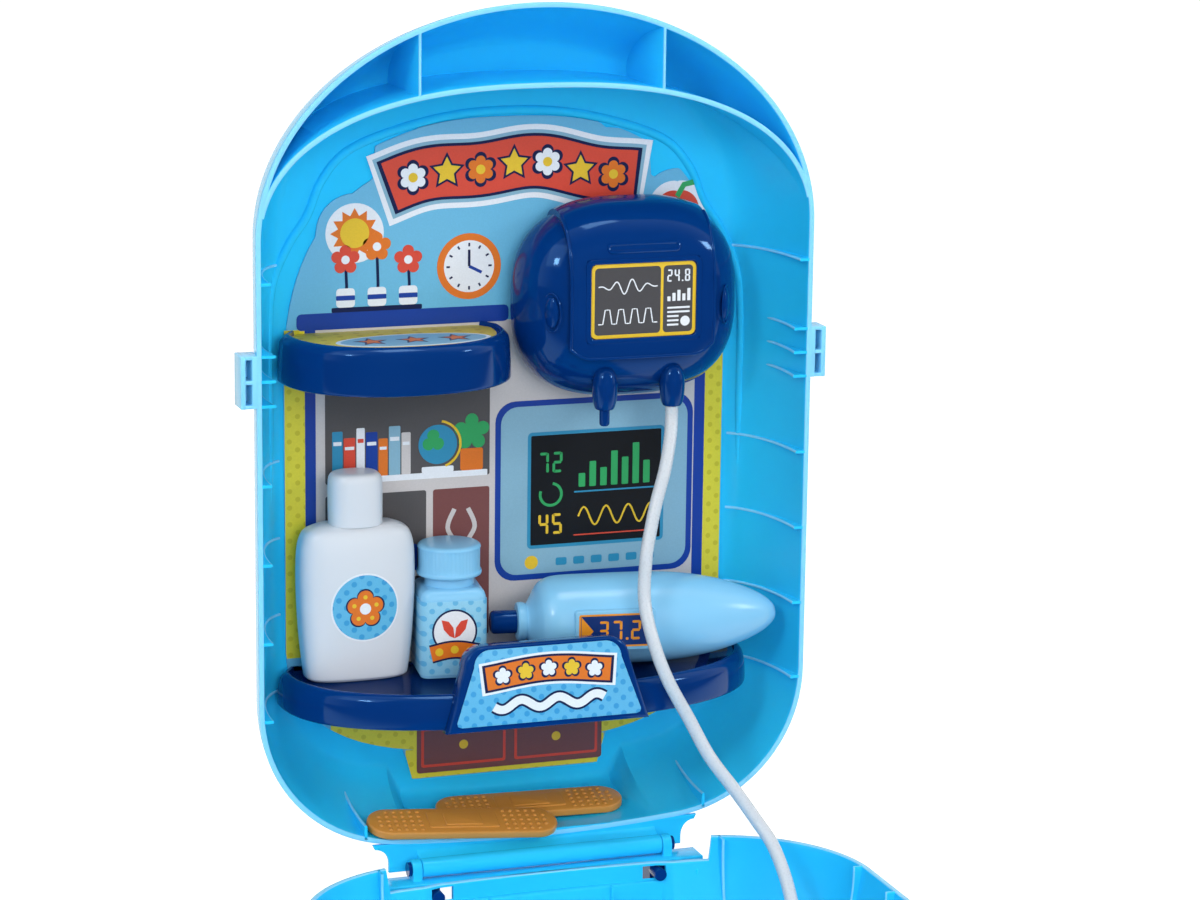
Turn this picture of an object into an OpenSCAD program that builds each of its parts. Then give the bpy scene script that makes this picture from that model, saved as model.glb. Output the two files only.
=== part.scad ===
// Toy doctor case: a clamshell case whose lid stands up as a small dispensary.
// Frame: X to the right, -Y towards the child, +Z up, origin under the middle of the base.

/* [Case] */
// Width of the case over its rims
case_w = 240; // [230:1:250]
// Height of each half from the hinge end to the top of the dome
case_h = 352; // [345:1:362]
// Depth of each half
half_d = 47.5; // [46:0.5:52]
// Moulded wall of both halves
wall = 2.2; // [1.8:0.1:2.8]
// Rise of the elliptical dome end
dome_h = 94.5; // [88:0.5:100]
// Radius of the two corners at the hinge end
corner_r = 62; // [55:1:68]
// How far the back plane lies inside the rim outline
edge_in = 20; // [16:0.5:20.5]
// The same at the middle of the hinge end, where the printed card runs low
foot_in = 11.5; // [9:0.5:12]
// Width of that low stretch
foot_w = 96; // [94:1:108]

/* [Ribs and catches] */
// Thickness of the moulded ribs
rib_t = 1.2; // [1:0.1:1.8]
// Width of a side rib at the rim
rib_reach = 4; // [3:0.5:6]
// Spacing of the side ribs
rib_pitch = 33; // [28:1:35]
// Height of the lowest side rib above the hinge end
rib_first = 60.5; // [56:0.5:64]
// Height of the middle of the catches
catch_v = 202.5; // [198:0.5:206]
// Length of a catch pocket
catch_l = 21.5; // [20:0.5:24]
// How far a catch pocket stands out of the rim
catch_out = 6.5; // [6:0.5:8]
// Depth of a catch pocket
catch_d = 11; // [10:0.5:14]
// Play between a snap tongue and its window
catch_play = 0.7; // [0.5:0.1:1]

/* [Hinge] */
// Radius of the hinge barrel
barrel_r = 4; // [3.6:0.1:4.4]
// Length of the hinge barrel
barrel_l = 106; // [96:1:110]
// Radius of the hinge pins
pin_r = 1.9; // [1.5:0.1:2.2]
// Radial play of a pin in its bore
pin_play = 0.05; // [0.03:0.01:0.1]
// Thickness of a hinge ear
ear_t = 4; // [3:0.5:5]
// Height of the hinge end above the hinge axis
hinge_rise = 6.5; // [6:0.1:8]
// Distance of the hinge axis from the lid's rim plane
hinge_in = 6; // [5.5:0.1:7]
// Gap left between the two rims when the case is shut
rim_gap = 0.3; // [0.2:0.1:0.6]
// Width of the tab that carries the barrel
tab_w = 134; // [130:1:138]
// Width of the notch in the base's rear wall
notch_w = 142; // [140:1:150]

/* [Fittings in the lid] */
// Depth of the printed card below the rim plane
card_y = 44.5; // [44:0.1:44.6]
// Height of the upper shelf's rim
upper_v = 214.5; // [208:0.5:220]
// Height of the upper shelf's skirt
upper_h = 20; // [16:0.5:22]
// Room between the upper shelf and the monitor
upper_gap = 2; // [1:0.5:6]
// How far the upper shelf stands out from the card
upper_d = 51.5; // [46:0.5:54]
// Height of the lower shelf's rim
lower_v = 70.5; // [66:0.5:74]
// Height of the lower shelf's skirt
lower_h = 14.5; // [12:0.5:16]
// How far the shelves' ends stay inside the case's rims
shelf_in = 17; // [15:0.5:20]
// How far the lower shelf stands out from the card
lower_d = 66; // [62:0.5:68]
// Depth of the trays in both shelves
tray_d = 2; // [1.5:0.5:3]
// Width of the sign on the lower shelf, at its foot
sign_w = 88; // [80:1:94]
// Height of the sign
sign_h = 35.5; // [30:0.5:38]
// Width of the monitor
mon_w = 98; // [92:1:100]
// Height of the monitor
mon_h = 83; // [78:1:86]
// Depth of the monitor
mon_d = 36; // [32:1:38]

/* [Things on the shelves] */
// Width of the lotion bottle
bottle_w = 50; // [44:1:51]
// Thickness of the lotion bottle
bottle_t = 24; // [20:1:25]
// Height of the lotion bottle's body
bottle_h = 66; // [60:1:70]
// Side of the square jar
jar_w = 28; // [26:0.5:29]
// Height of the jar's body
jar_h = 38; // [34:1:40]
// Radius of the thermometer's body
thermo_r = 19.3; // [17:0.1:19.4]
// Length of the thermometer's body behind its collar
thermo_l = 113; // [106:1:116]
// Length of a toy plaster
plaster_l = 82; // [76:1:84]
// Width of a toy plaster
plaster_w = 19.5; // [18:0.5:20]
// Thickness of a toy plaster
plaster_t = 3.4; // [3:0.1:3.6]
// Diameter of the white tube
tube_d = 5.5; // [5:0.1:5.6]
// Radius of the sensor head on the tube
sensor_r = 17; // [15:0.5:18]

/* [Hidden] */
$fn = 48;

// Clearance between pieces that are only laid together
seat = 0.3;
// Thickness of stickers
sticker_t = 0.4;
// Places of the two halves and of the hinge axis in the part's frame
axis_y = case_h / 2 + hinge_rise;
axis_z = half_d - hinge_in + rim_gap;
lid_y = axis_y + hinge_in;
lid_z = axis_z + hinge_rise;
// Outline of the hinge end: two corners joined by one shallow arc
heel_r = 700;
corner_x = case_w / 2 - corner_r;
corner_v = heel_r - sqrt(pow(heel_r - corner_r, 2) - pow(corner_x, 2));
heel_a = asin(corner_x / (heel_r - corner_r));
dome_v = case_h - dome_h;
// Slope of the moulded walls and the exponent of their rounded edge
draft = 0.1;
edge_p = 1.9;
foot_p = 3.5;
depth_steps = [0, 0.25, 0.5, 0.68, 0.8, 0.89, 0.95, 0.985, 1];

// Signed power, for superellipses
function spow(v, e) = sign(v) * pow(abs(v), e);
// Height of a superellipse with half axes a and b at the distance x from its middle
function arc_y(x, a, b, n) = b * pow(max(0, 1 - pow(abs(x) / a, n)), 1 / n);

// One point of the rim outline: place, outward normal and whether it is on the low stretch
function dome_pt(a) =
    let (n = [dome_h * cos(a), case_w / 2 * sin(a)])
    [case_w / 2 * cos(a), dome_v + dome_h * sin(a), n[0] / norm(n), n[1] / norm(n), 0];
function corner_pt(s, a) =
    [s * corner_x + corner_r * cos(a), corner_v + corner_r * sin(a), cos(a), sin(a), 0];
function heel_pt(x) =
    let (a = asin(x / heel_r))
    [x, heel_r - heel_r * cos(a), sin(a), -cos(a), abs(x) <= foot_w / 2 ? 1 : 0];
heel_xs = [-foot_w / 2 - 7, -foot_w / 2, -32, -16, 0, 16, 32, foot_w / 2, foot_w / 2 + 7];
outline = concat(
    [for (a = [0:5.625:180]) dome_pt(a)],
    [for (i = [0:8]) corner_pt(-1, 180 + i * (90 - heel_a) / 8)],
    [for (x = heel_xs) heel_pt(x)],
    [for (i = [0:8]) corner_pt(1, 270 + heel_a + i * (90 - heel_a) / 8)]
);

// How far the wall has come in at the share t of the half's depth
function inset(t, foot) = foot > 0
    ? foot_in * (1 - pow(1 - pow(t, foot_p), 1 / foot_p))
    : draft * half_d * t + (edge_in - draft * half_d) * (1 - pow(1 - pow(t, edge_p), 1 / edge_p));
function case_ring(t, off, w) =
    [for (p = outline) let (k = inset(t, p[4]) + off) [p[0] - k * p[2], p[1] - k * p[3], w]];

// A closed solid through a list of rings that all have the same number of points
module skin(rings) {
    n = len(rings[0]);
    m = len(rings);
    pts = [for (r = rings) each r];
    sides = [for (j = [0:m - 2]) for (i = [0:n - 1]) each [
        [j * n + i, (j + 1) * n + i, (j + 1) * n + (i + 1) % n],
        [j * n + i, (j + 1) * n + (i + 1) % n, j * n + (i + 1) % n]]];
    caps = [[for (i = [0:n - 1]) i], [for (i = [n - 1:-1:0]) (m - 1) * n + i]];
    polyhedron(pts, concat(sides, caps), convexity = 6);
}

// Local frame of a half: X across, Y from the hinge end to the dome, Z from the rim to the back
module place_base() {
    translate([0, case_h / 2, half_d]) rotate([180, 0, 0]) children();
}
module place_lid() {
    translate([0, lid_y, lid_z]) rotate([90, 0, 180]) children();
}
// Frame of the lid's fittings: X across, Y into the lid from its rim plane, Z up from its foot
module in_lid() {
    translate([0, lid_y, lid_z]) children();
}

// The whole outer form of a half, a little smaller than the moulding
module half_solid(off) {
    skin([for (t = depth_steps) case_ring(t, off, t * half_d)]);
}
module half_shell() {
    skin(concat(
        [for (t = [for (i = [len(depth_steps) - 1:-1:0]) depth_steps[i]])
            case_ring(t, wall, t * (half_d - wall))],
        [for (t = depth_steps) case_ring(t, 0, t * half_d)]));
}

// Width of the straight side wall's middle at the depth w
function side_x(w) = case_w / 2 - inset(w / half_d, 0) - wall / 2;
// A thin rib on one side wall, widest at the rim and running out at the depth l
module side_rib(v, reach, l) {
    ws = [for (i = [0:6]) i / 6 * l];
    edge = [for (w = ws) [side_x(w), w]];
    free = [for (i = [6:-1:0]) [side_x(ws[i]) - wall / 2 - reach * (1 - ws[i] / l) - 0.05, ws[i]]];
    for (s = [-1, 1])
        translate([0, v + rib_t / 2, 0])
            mirror([s < 0 ? 1 : 0, 0, 0])
                rotate([90, 0, 0])
                    linear_extrude(rib_t) polygon(concat(edge, free));
}
module side_ribs() {
    for (i = [0:3])
        side_rib(rib_first + i * rib_pitch, rib_reach, 35);
    side_rib(rib_first + 5.5 * rib_pitch, rib_reach, 35);
    for (i = [-1:1])
        side_rib(catch_v + i * (catch_l - rib_t) / 2, rib_reach + 1, 38);
}

// Upright fins beside the hinge end
fin_x = 75;
function fin_v(w) =
    corner_v - sqrt(pow(corner_r - inset(w / half_d, 0) - wall / 2, 2) - pow(fin_x - corner_x, 2));
module foot_fins() {
    l = 40;
    ws = [for (i = [0:6]) i / 6 * l];
    edge = [for (w = ws) [fin_v(w), w]];
    free = [for (i = [6:-1:0]) [fin_v(ws[i]) + wall / 2 + 5 * (1 - ws[i] / l) + 0.1, ws[i]]];
    for (s = [-1, 1])
        translate([s * fin_x - rib_t / 2, 0, 0])
            rotate([90, 0, 90])
                linear_extrude(rib_t) polygon(concat(edge, free));
}

// Catch: the pocket's windows and the tongue that snaps into each of them
window_l = (catch_l - 3 * 1.5) / 2;
window_x = case_w / 2 + 1.8;
window_t = catch_out - 1.8 - 2;
module window(s, i, play, w0, w1) {
    mid = catch_v + i * (window_l + 1.5) / 2;
    translate([s > 0 ? window_x + play : -window_x - window_t + play,
               mid - window_l / 2 + play, w0])
        cube([window_t - 2 * play, window_l - 2 * play, w1 - w0]);
}
module catch_block(s, out, d) {
    translate([s > 0 ? side_x(d) : -case_w / 2 - out, catch_v - catch_l / 2, 0])
        cube([case_w / 2 + out - side_x(d), catch_l, d]);
}

// Places across the lid: half widths of the card and lower shelf, middles of what hangs on them
card_hw = case_w / 2 - edge_in - wall - seat;
lower_hw = case_w / 2 - shelf_in;
mon_x = lower_hw - mon_w / 2 - 7;
upper_hw = (mon_x - mon_w / 2 - upper_gap + lower_hw - 1) / 2;
upper_x = upper_hw - lower_hw + 1;
mon_v = 224;

// Screw places in the lid: [x, height above the lid's foot]
screw_r = 1.4;
screw_at = [[upper_x - upper_hw + 14, upper_v - 12], [upper_x + upper_hw - 16, upper_v - 12],
            [23 - lower_hw, lower_v - 8], [lower_hw - 23, lower_v - 8],
            [mon_x - 25, mon_v], [mon_x + 25, mon_v]];
module screw_holes(r, y0, y1) {
    for (p = screw_at)
        translate([p[0], y0, p[1]]) rotate([-90, 0, 0]) cylinder(r = r, h = y1 - y0);
}

/* Lid */

// Arch that closes the crescent at the top of the lid
arch_v = 253.5;
arch_h = 66;
arch_n = 2.4;
crescent_rib_x = 52;
module arch_band() {
    hw = case_w / 2 - 0.1;
    xs = [for (i = [0:32]) -cos(i * 180 / 32) * hw];
    polygon(concat(
        [for (x = xs) [x, arch_v + arc_y(x, case_w / 2, arch_h, arch_n)]],
        [for (i = [32:-1:0]) [xs[i], arch_v - wall + arc_y(xs[i], case_w / 2, arch_h, arch_n)]]));
}
module crescent() {
    top = arch_v + arc_y(crescent_rib_x, case_w / 2, arch_h, arch_n);
    intersection() {
        union() {
            linear_extrude(half_d - wall / 2) arch_band();
            for (s = [-1, 1])
                translate([s * crescent_rib_x - rib_t / 2, top - wall / 2, 0])
                    cube([rib_t, case_h - top, half_d - wall / 2]);
        }
        half_solid(wall / 3);
    }
}

// Hinge tab, drawn across the hinge: the first number runs into the lid, the second upwards
tab_t = 2.2;
barrel_top = -hinge_rise + barrel_r;
barrel_low = -hinge_rise - barrel_r;
module hinge_tab() {
    hw = tab_w / 2;
    in_lid()
        rotate([90, 0, 0]) mirror([0, 0, 1])
            linear_extrude(tab_t)
                polygon([[-hw - 3, 3], [-hw, 0], [-hw + 2, -4], [-hw + 2, barrel_low + 1],
                         [hw - 2, barrel_low + 1], [hw - 2, -4], [hw, 0], [hw + 3, 3]]);
    translate([-barrel_l / 2, lid_y, lid_z])
        rotate([90, 0, 90])
            linear_extrude(barrel_l)
                polygon([[0.1, 1], [0, -1], [-1.2, barrel_top + 0.6], [-hinge_in, barrel_top - 0.1],
                         [-hinge_in, barrel_low + 0.1], [tab_t, barrel_low + 1], [tab_t, 1]]);
    translate([-barrel_l / 2, axis_y, axis_z])
        rotate([0, 90, 0]) cylinder(r = barrel_r, h = barrel_l);
}
pin_in = 18;
module pin_bores() {
    for (s = [-1, 1])
        translate([s * (barrel_l / 2 - pin_in - 1), axis_y, axis_z])
            rotate([0, s * 90, 0]) cylinder(r = pin_r + pin_play, h = pin_in + 1 + ear_t + 2);
}

module lid_shell() {
    color("#4fb4f0")
        difference() {
            union() {
                place_lid() {
                    half_shell();
                    crescent();
                    side_ribs();
                    foot_fins();
                    for (s = [-1, 1])
                        catch_block(s, catch_out, catch_d);
                }
                hinge_tab();
            }
            place_lid()
                for (s = [-1, 1])
                    for (i = [-1, 1])
                        window(s, i, 0, -1, catch_d - 2);
            pin_bores();
            in_lid() screw_holes(screw_r + pin_play, card_y - 1, half_d + 1);
        }
}

// Printed card on the back of the lid, with a straight tab at its foot
card_foot_v = 15.4;
card_tab_w = 91;
card_low_v = 85.5;
card_low_h = 58.5;
card_high_v = 201.5;
card_high_h = 99;
module backing_card() {
    n = 20;
    xs = [for (i = [0:n]) cos(i * 180 / n) * card_hw];
    high = [for (x = xs) [x, card_high_v + arc_y(x, card_hw, card_high_h, 2.6)]];
    low = [for (i = [n:-1:0]) [xs[i], card_low_v - arc_y(xs[i], card_hw, card_low_h, 2.8)]];
    color("#6bb9d8")
        in_lid()
            difference() {
                translate([0, half_d - wall, 0])
                    rotate([90, 0, 0])
                        linear_extrude(half_d - wall - card_y) {
                            polygon(concat(high, low));
                            polygon([[-card_tab_w / 2, card_low_v - card_low_h + 1],
                                     [-card_tab_w / 2 + 5, card_foot_v],
                                     [card_tab_w / 2 - 5, card_foot_v],
                                     [card_tab_w / 2, card_low_v - card_low_h + 1]]);
                        }
                screw_holes(screw_r + 0.2, card_y - 1, half_d);
            }
}

/* Shelves */

// Plan of a shelf: straight against the card, drawn in behind its ends, rounded towards the child
shelf_end = [4, 7];
function shelf_plan(cx, hw, d, n, k) = concat(
    [[cx - hw + k + shelf_end[0], card_y]],
    [for (i = [0:26]) let (a = i * 180 / 26)
        [cx - (hw - k) * spow(cos(a), 2 / n),
         card_y - shelf_end[1] - (d - shelf_end[1] - k) * spow(sin(a), 2 / n)]],
    [[cx + hw - k - shelf_end[0], card_y]]);
function shelf_ring(cx, hw, d, n, k, z) = [for (p = shelf_plan(cx, hw, d, n, k)) [p[0], p[1], z]];
shelf_edge = 3;
shelf_rim = 5;
module shelf(cx, hw, d, n, top, h) {
    difference() {
        skin([
            shelf_ring(cx, hw, d, n, 0, top - h),
            shelf_ring(cx, hw, d, n, 0.9, top - shelf_edge),
            shelf_ring(cx, hw, d, n, 1.8, top - shelf_edge / 3),
            shelf_ring(cx, hw, d, n, shelf_edge, top)
        ]);
        translate([0, 0, top - tray_d])
            linear_extrude(tray_d + 1)
                polygon(shelf_plan(cx, hw, d, n, shelf_rim));
        translate([0, -wall, top - h - 1])
            linear_extrude(h + 1 - tray_d - wall)
                polygon(shelf_plan(cx, hw, d - wall, n, wall + 0.9));
    }
    // Bosses that take the fixing screws
    for (p = screw_at)
        if (abs(p[0] - cx) < hw && abs(p[1] - top) < h)
            difference() {
                translate([p[0], card_y - 9, p[1]])
                    rotate([-90, 0, 0]) cylinder(r = 3.2, h = 8.5);
                translate([p[0], card_y - 8, p[1]])
                    rotate([-90, 0, 0]) cylinder(r = screw_r + pin_play, h = 9);
            }
}
upper_n = 2.3;
lower_n = 2.45;
module upper_shelf() {
    color("#063f8a")
        in_lid()
            difference() {
                shelf(upper_x, upper_hw, upper_d, upper_n, upper_v, upper_h);
                screw_holes(screw_r + pin_play, card_y - 8, card_y + 1);
            }
}
module upper_shelf_sticker() {
    k = shelf_rim + 1;
    color("#e8c437")
        in_lid()
            translate([0, 0, upper_v - tray_d])
                linear_extrude(sticker_t)
                    polygon(shelf_plan(upper_x, upper_hw, upper_d, upper_n, k));
}

// Sign at the front of the lower shelf, leaning back a little
sign_x = -3;
sign_t = 9;
sign_lean = 7;
sign_corner = 9;
sign_top_w = sign_w - 22;
module sign_shape(k) {
    hw = sign_w / 2 - k;
    tw = sign_top_w / 2 - k;
    c = sign_corner - k / 2;
    polygon(concat([[-hw, 0], [hw, 0]],
        [for (a = [0:15:90]) [tw - c + 3 + c * cos(a), sign_h - k - c + c * sin(a)]],
        [for (a = [90:15:180]) [-tw + c - 3 + c * cos(a), sign_h - k - c + c * sin(a)]]));
}
sign_y = card_y - lower_d - 3;
module at_sign() {
    translate([sign_x, sign_y, lower_v - lower_h]) rotate([-sign_lean, 0, 0]) children();
}
module lower_shelf() {
    color("#063f8a")
        in_lid()
            difference() {
                union() {
                    shelf(0, lower_hw, lower_d, lower_n, lower_v, lower_h);
                    at_sign()
                        translate([0, sign_t, 0])
                            rotate([90, 0, 0]) linear_extrude(sign_t) sign_shape(0);
                }
                screw_holes(screw_r + pin_play, card_y - 8, card_y + 1);
            }
}
module sign_sticker() {
    color("#7fc6ea")
        in_lid()
            at_sign()
                translate([0, 0, 2.5])
                    rotate([90, 0, 0]) linear_extrude(sticker_t) sign_shape(4);
}

/* Monitor */

mon_n = 2.7;
// Share of the depth from the card, and how far the outline has come in there as a share of the height
mon_steps = [[0, 0.054], [0.14, 0.014], [0.31, 0], [0.5, 0.01], [0.67, 0.041], [0.81, 0.089],
             [0.92, 0.157], [0.98, 0.241], [1, 0.337]];
function mon_ring(s, grow) =
    [for (i = [0:39]) let (a = i * 9, k = s[1] * mon_h - grow)
        [mon_x + (mon_w / 2 - k) * spow(cos(a), 2 / mon_n),
         mon_v + (mon_h / 2 - k) * spow(sin(a), 2 / mon_n),
         s[0] * mon_d + (s[0] > 0 ? grow : 0)]];
module mon_form(grow) {
    translate([0, card_y, 0])
        rotate([90, 0, 0])
            skin([for (s = mon_steps) mon_ring(s, grow)]);
}
nozzle_dx = 15;
nozzle_y = 12;
nozzle_v = 180.5;
nozzle_r = 5.2;
spigot_r = 2.2;
window_w = 46.5;
window_h = 31.5;
window_v = 227;
module monitor_housing() {
    color("#063f8a")
        in_lid()
            difference() {
                union() {
                    mon_form(0);
                    for (s = [-1, 1])
                        translate([mon_x + s * nozzle_dx, nozzle_y, nozzle_v]) {
                            cylinder(r = nozzle_r, h = 10);
                            translate([0, 0, 10]) sphere(r = nozzle_r);
                        }
                    translate([mon_x - nozzle_dx, nozzle_y, nozzle_v - 7])
                        cylinder(r = spigot_r, h = 8);
                    for (s = [-1, 1])
                        translate([mon_x + s * 38.5, nozzle_y + 4.5, mon_v - 5])
                            rotate([0, 0, -s * 28]) {
                                cylinder(r = 4, h = 7);
                                sphere(r = 4);
                                translate([0, 0, 7]) sphere(r = 4);
                            }
                }
                screw_holes(screw_r + pin_play, card_y - 8, card_y + 1);
            }
}
front_w = 63;
front_t = 1.4;
module front_region(k) {
    r = 7;
    hw = front_w / 2 - k;
    low = mon_v - 18.5 + k;
    translate([mon_x, 0])
        polygon(concat(
            [for (a = [180:15:270]) [-hw + r + r * cos(a), low + r + r * sin(a)]],
            [for (a = [270:15:360]) [hw - r + r * cos(a), low + r + r * sin(a)]],
            [[hw, mon_v + mon_h], [-hw, mon_v + mon_h]]));
}
module monitor_front() {
    color("#06468f")
        in_lid()
            difference() {
                intersection() {
                    mon_form(front_t);
                    translate([0, card_y - 6, 0])
                        rotate([90, 0, 0]) linear_extrude(mon_d) front_region(0);
                }
                mon_form(0);
                translate([mon_x - window_w / 2, card_y - mon_d - 10, window_v - window_h / 2])
                    cube([window_w, 20, window_h]);
            }
}
module monitor_screen() {
    color("#4a4a4a")
        in_lid()
            translate([mon_x - window_w / 2 + seat, card_y - mon_d - 1, window_v - window_h / 2 + seat])
                cube([window_w - 2 * seat, 1, window_h - 2 * seat]);
}
module fixing_screws() {
    color("silver")
        in_lid()
            for (p = screw_at)
                translate([p[0], half_d, p[1]]) rotate([90, 0, 0]) {
                    cylinder(r = screw_r, h = half_d - card_y + 7);
                    translate([0, 0, -1.6]) cylinder(r = 3, h = 1.6);
                }
}

/* Base */

notch_z = axis_z - barrel_r - rim_gap;
flange_t = wall;
flange_y = axis_y + barrel_r;
ledge_z = notch_z - flange_t - 5.5;
slot_x = 47;
slot_w = 10;
panel_t = 3;
function wall_y(z) = case_h / 2 - inset((half_d - z) / half_d, 1);
module base_ledge() {
    intersection() {
        union() {
            translate([-84, case_h / 2 - wall - panel_t - 0.6, wall / 2])
                cube([168, panel_t + wall, ledge_z - wall / 2]);
            for (x = [-65, -27, 27, 65])
                translate([x - rib_t / 2, case_h / 2 - wall - 2 * panel_t, wall / 2])
                    cube([rib_t, 2 * panel_t, ledge_z - wall / 2 + (abs(x) > 50 ? 4 : 0)]);
        }
        place_base() half_solid(wall / 3);
    }
}
module base_ears() {
    for (s = [-1, 1])
        translate([s > 0 ? barrel_l / 2 + 0.4 : -barrel_l / 2 - 0.4 - ear_t, 0, 0]) {
            translate([0, axis_y, axis_z]) rotate([0, 90, 0]) cylinder(r = barrel_r, h = ear_t);
            translate([0, axis_y - barrel_r, notch_z - 1])
                cube([ear_t, 2 * barrel_r, axis_z - notch_z + 1]);
        }
}
module base_shell() {
    color("#4fb4f0")
        difference() {
            union() {
                difference() {
                    place_base() {
                        half_shell();
                        side_ribs();
                        foot_fins();
                    }
                    translate([-notch_w / 2, case_h / 2 - 12, notch_z])
                        cube([notch_w, 20, half_d - notch_z + 1]);
                }
                base_ledge();
                translate([-notch_w / 2 + 1, wall_y(notch_z) - wall / 2, notch_z - flange_t])
                    cube([notch_w - 2, flange_y - wall_y(notch_z) + wall / 2, flange_t]);
                base_ears();
                place_base()
                    for (s = [-1, 1]) {
                        catch_block(s, window_x + window_t - catch_play - case_w / 2, catch_d - 2);
                        for (i = [-1, 1])
                            window(s, i, catch_play, -6.5, 3);
                    }
            }
            for (s = [-1, 1])
                translate([s * slot_x - slot_w / 2, case_h / 2 - 10, ledge_z])
                    cube([slot_w, 12, notch_z - flange_t - ledge_z]);
            pin_bores();
        }
}
module hinge_pin(s) {
    color("#063f8a")
        translate([s * (barrel_l / 2 + 0.4 + ear_t), axis_y, axis_z])
            rotate([0, -s * 90, 0]) {
                cylinder(r = pin_r, h = pin_in + ear_t);
                translate([0, 0, -1.5]) cylinder(r = 3, h = 1.5);
            }
}
module hinge_pin_left() {
    hinge_pin(-1);
}
module hinge_pin_right() {
    hinge_pin(1);
}

// Feet behind the rounded edge, level with the base's underside and with the hinge's back
foot_x = 53;
foot_l = 13;
foot_r = 3;
stem_x = 49;
stem_r = 2.6;
module stand_foot(s) {
    y0 = case_h / 2 + seat;
    y1 = flange_y + 3;
    top = notch_z - flange_t - seat;
    color("#063f8a") {
        translate([s * foot_x - foot_l / 2, 0, 0])
            rotate([90, 0, 90])
                linear_extrude(foot_l)
                    polygon(concat(
                        [[y1, top], [y0, top]],
                        [for (a = [180:15:270]) [y0 + foot_r + foot_r * cos(a), foot_r + foot_r * sin(a)]],
                        [for (a = [270:15:360]) [y1 - foot_r + foot_r * cos(a), foot_r + foot_r * sin(a)]]));
        translate([s * stem_x, y0 - 7, ledge_z + stem_r + 0.1])
            rotate([-90, 0, 0]) cylinder(r = stem_r, h = 8);
    }
}
module stand_foot_left() {
    stand_foot(-1);
}
module stand_foot_right() {
    stand_foot(1);
}

/* Air tube and sensor head */

// Route of the tube in the lid's frame, from the right nozzle down to the base's floor
tube_route = [
    [62, 12, 180.5], [62, 12, 175], [60, 8, 167], [55.3, 1, 155.5], [50.4, -3, 143.5],
    [46.7, -6, 131.5], [43.8, -9, 120], [42.3, -12, 103.5], [43.5, -19, 88.5], [48.5, -24, 72],
    [57.5, -27, 54.5], [65, -32, 39], [74.5, -38, 25], [81, -46, 14], [85, -54, 6],
    [86.5, -64, -3.5], [87, -72, -13.5], [86, -82, -25], [82, -93, -34], [74, -102, -40],
    [63, -108, -42.8], [50, -112, -43.3], [36, -114, -43.3], [22, -115, -43.3], [8, -115, -43.3],
    [-6, -115, -43.3], [-16, -115, -43.3]
];
// Ring of a tube: centre p, direction d, n sides
function frame_u(d) = let (a = cross(d, [0.3, 0.9, 0.2])) a / norm(a);
function tube_ring(p, d, r, n) =
    let (u = frame_u(d), w = cross(d, u))
    [for (i = [0:n - 1]) p + r * (cos(i * 360 / n) * u + sin(i * 360 / n) * w)];
// Smooth point between the route's own points, by Catmull and Rom's cubic
function smooth(a, b, c, d, t) =
    0.5 * (2 * b + (c - a) * t + (2 * a - 5 * b + 4 * c - d) * t * t
           + (3 * b - a - 3 * c + d) * t * t * t);
function route_pt(p, i, t) =
    let (n = len(p) - 1)
    smooth(p[max(i - 1, 0)], p[i], p[min(i + 1, n)], p[min(i + 2, n)], t);
tube_sides = 8;
module air_tube() {
    n = len(tube_route) - 1;
    pts = concat([for (i = [0:n - 1]) for (t = [0, 0.5]) route_pt(tube_route, i, t)],
                 [tube_route[n]]);
    m = len(pts) - 1;
    dirs = [for (i = [0:m])
        let (d = i < 2 ? [0, 0, -1] : (i > m - 2 ? [-1, 0, 0] : pts[i + 1] - pts[i - 1]))
        d / norm(d)];
    color("#d8dee8")
        in_lid()
            skin([for (i = [0:m]) tube_ring(pts[i], dirs[i], tube_d / 2, tube_sides)]);
}
tube_end = tube_route[len(tube_route) - 1];
sensor_h = 7;
module at_sensor() {
    in_lid() translate([tube_end[0] - sensor_r, tube_end[1], tube_end[2] - tube_d / 2]) children();
}
module sensor_head() {
    color("#063f8a")
        at_sensor()
            rotate_extrude()
                polygon([[0, 0.6], [sensor_r - 2.5, 0.6], [sensor_r - 2.5, 5.4], [sensor_r - 5, 7],
                         [sensor_r - 9, sensor_h + 1], [0, sensor_h + 1.4]]);
}
module sensor_rim() {
    color("#d8dee8")
        at_sensor()
            rotate_extrude()
                polygon([[sensor_r - 2.5, 0], [sensor_r, 0.8], [sensor_r, 5], [sensor_r - 2.5, 5.4]]);
}

/* Things on the shelves, in the lid's frame */

tray_v = lower_v - tray_d;

bottle_x = 32 - lower_hw;
bottle_y = 30.5;
bottle_z = tray_v + 0.05;
bottle_n = 3;
// Height share and the width and thickness shares of the bottle there
bottle_steps = [[0, 0.8, 0.74], [0.015, 0.86, 0.82], [0.05, 0.89, 0.88], [0.3, 0.96, 0.98],
                [0.6, 1, 1], [0.82, 0.99, 0.97], [0.92, 0.94, 0.9], [0.97, 0.85, 0.8], [1, 0.68, 0.62]];
function oval(w, t, n, z, steps) =
    [for (i = [0:steps - 1]) let (a = i * 360 / steps)
        [w / 2 * spow(cos(a), 2 / n), t / 2 * spow(sin(a), 2 / n), z]];
module at_bottle() {
    in_lid() translate([bottle_x, bottle_y, bottle_z]) children();
}
function bottle_rings(steps, grow) = [for (s = steps)
    oval(bottle_w * s[1] + 2 * grow, bottle_t * s[2] + 2 * grow, bottle_n, bottle_h * s[0], 36)];
module bottle_body() {
    color("#d5dde8")
        at_bottle() skin(bottle_rings(bottle_steps, 0));
}
cap_w = 22.5;
cap_t = 18.5;
cap_h = 22;
module bottle_cap() {
    color("#e2e9f0")
        at_bottle()
            translate([0, 0, bottle_h])
                skin([for (s = [[0, 0.97], [0.7, 1], [0.86, 0.98], [0.95, 0.9], [1, 0.72]])
                    oval(cap_w * s[1], cap_t * s[1], 2.6, cap_h * s[0], 28)]);
}
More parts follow.
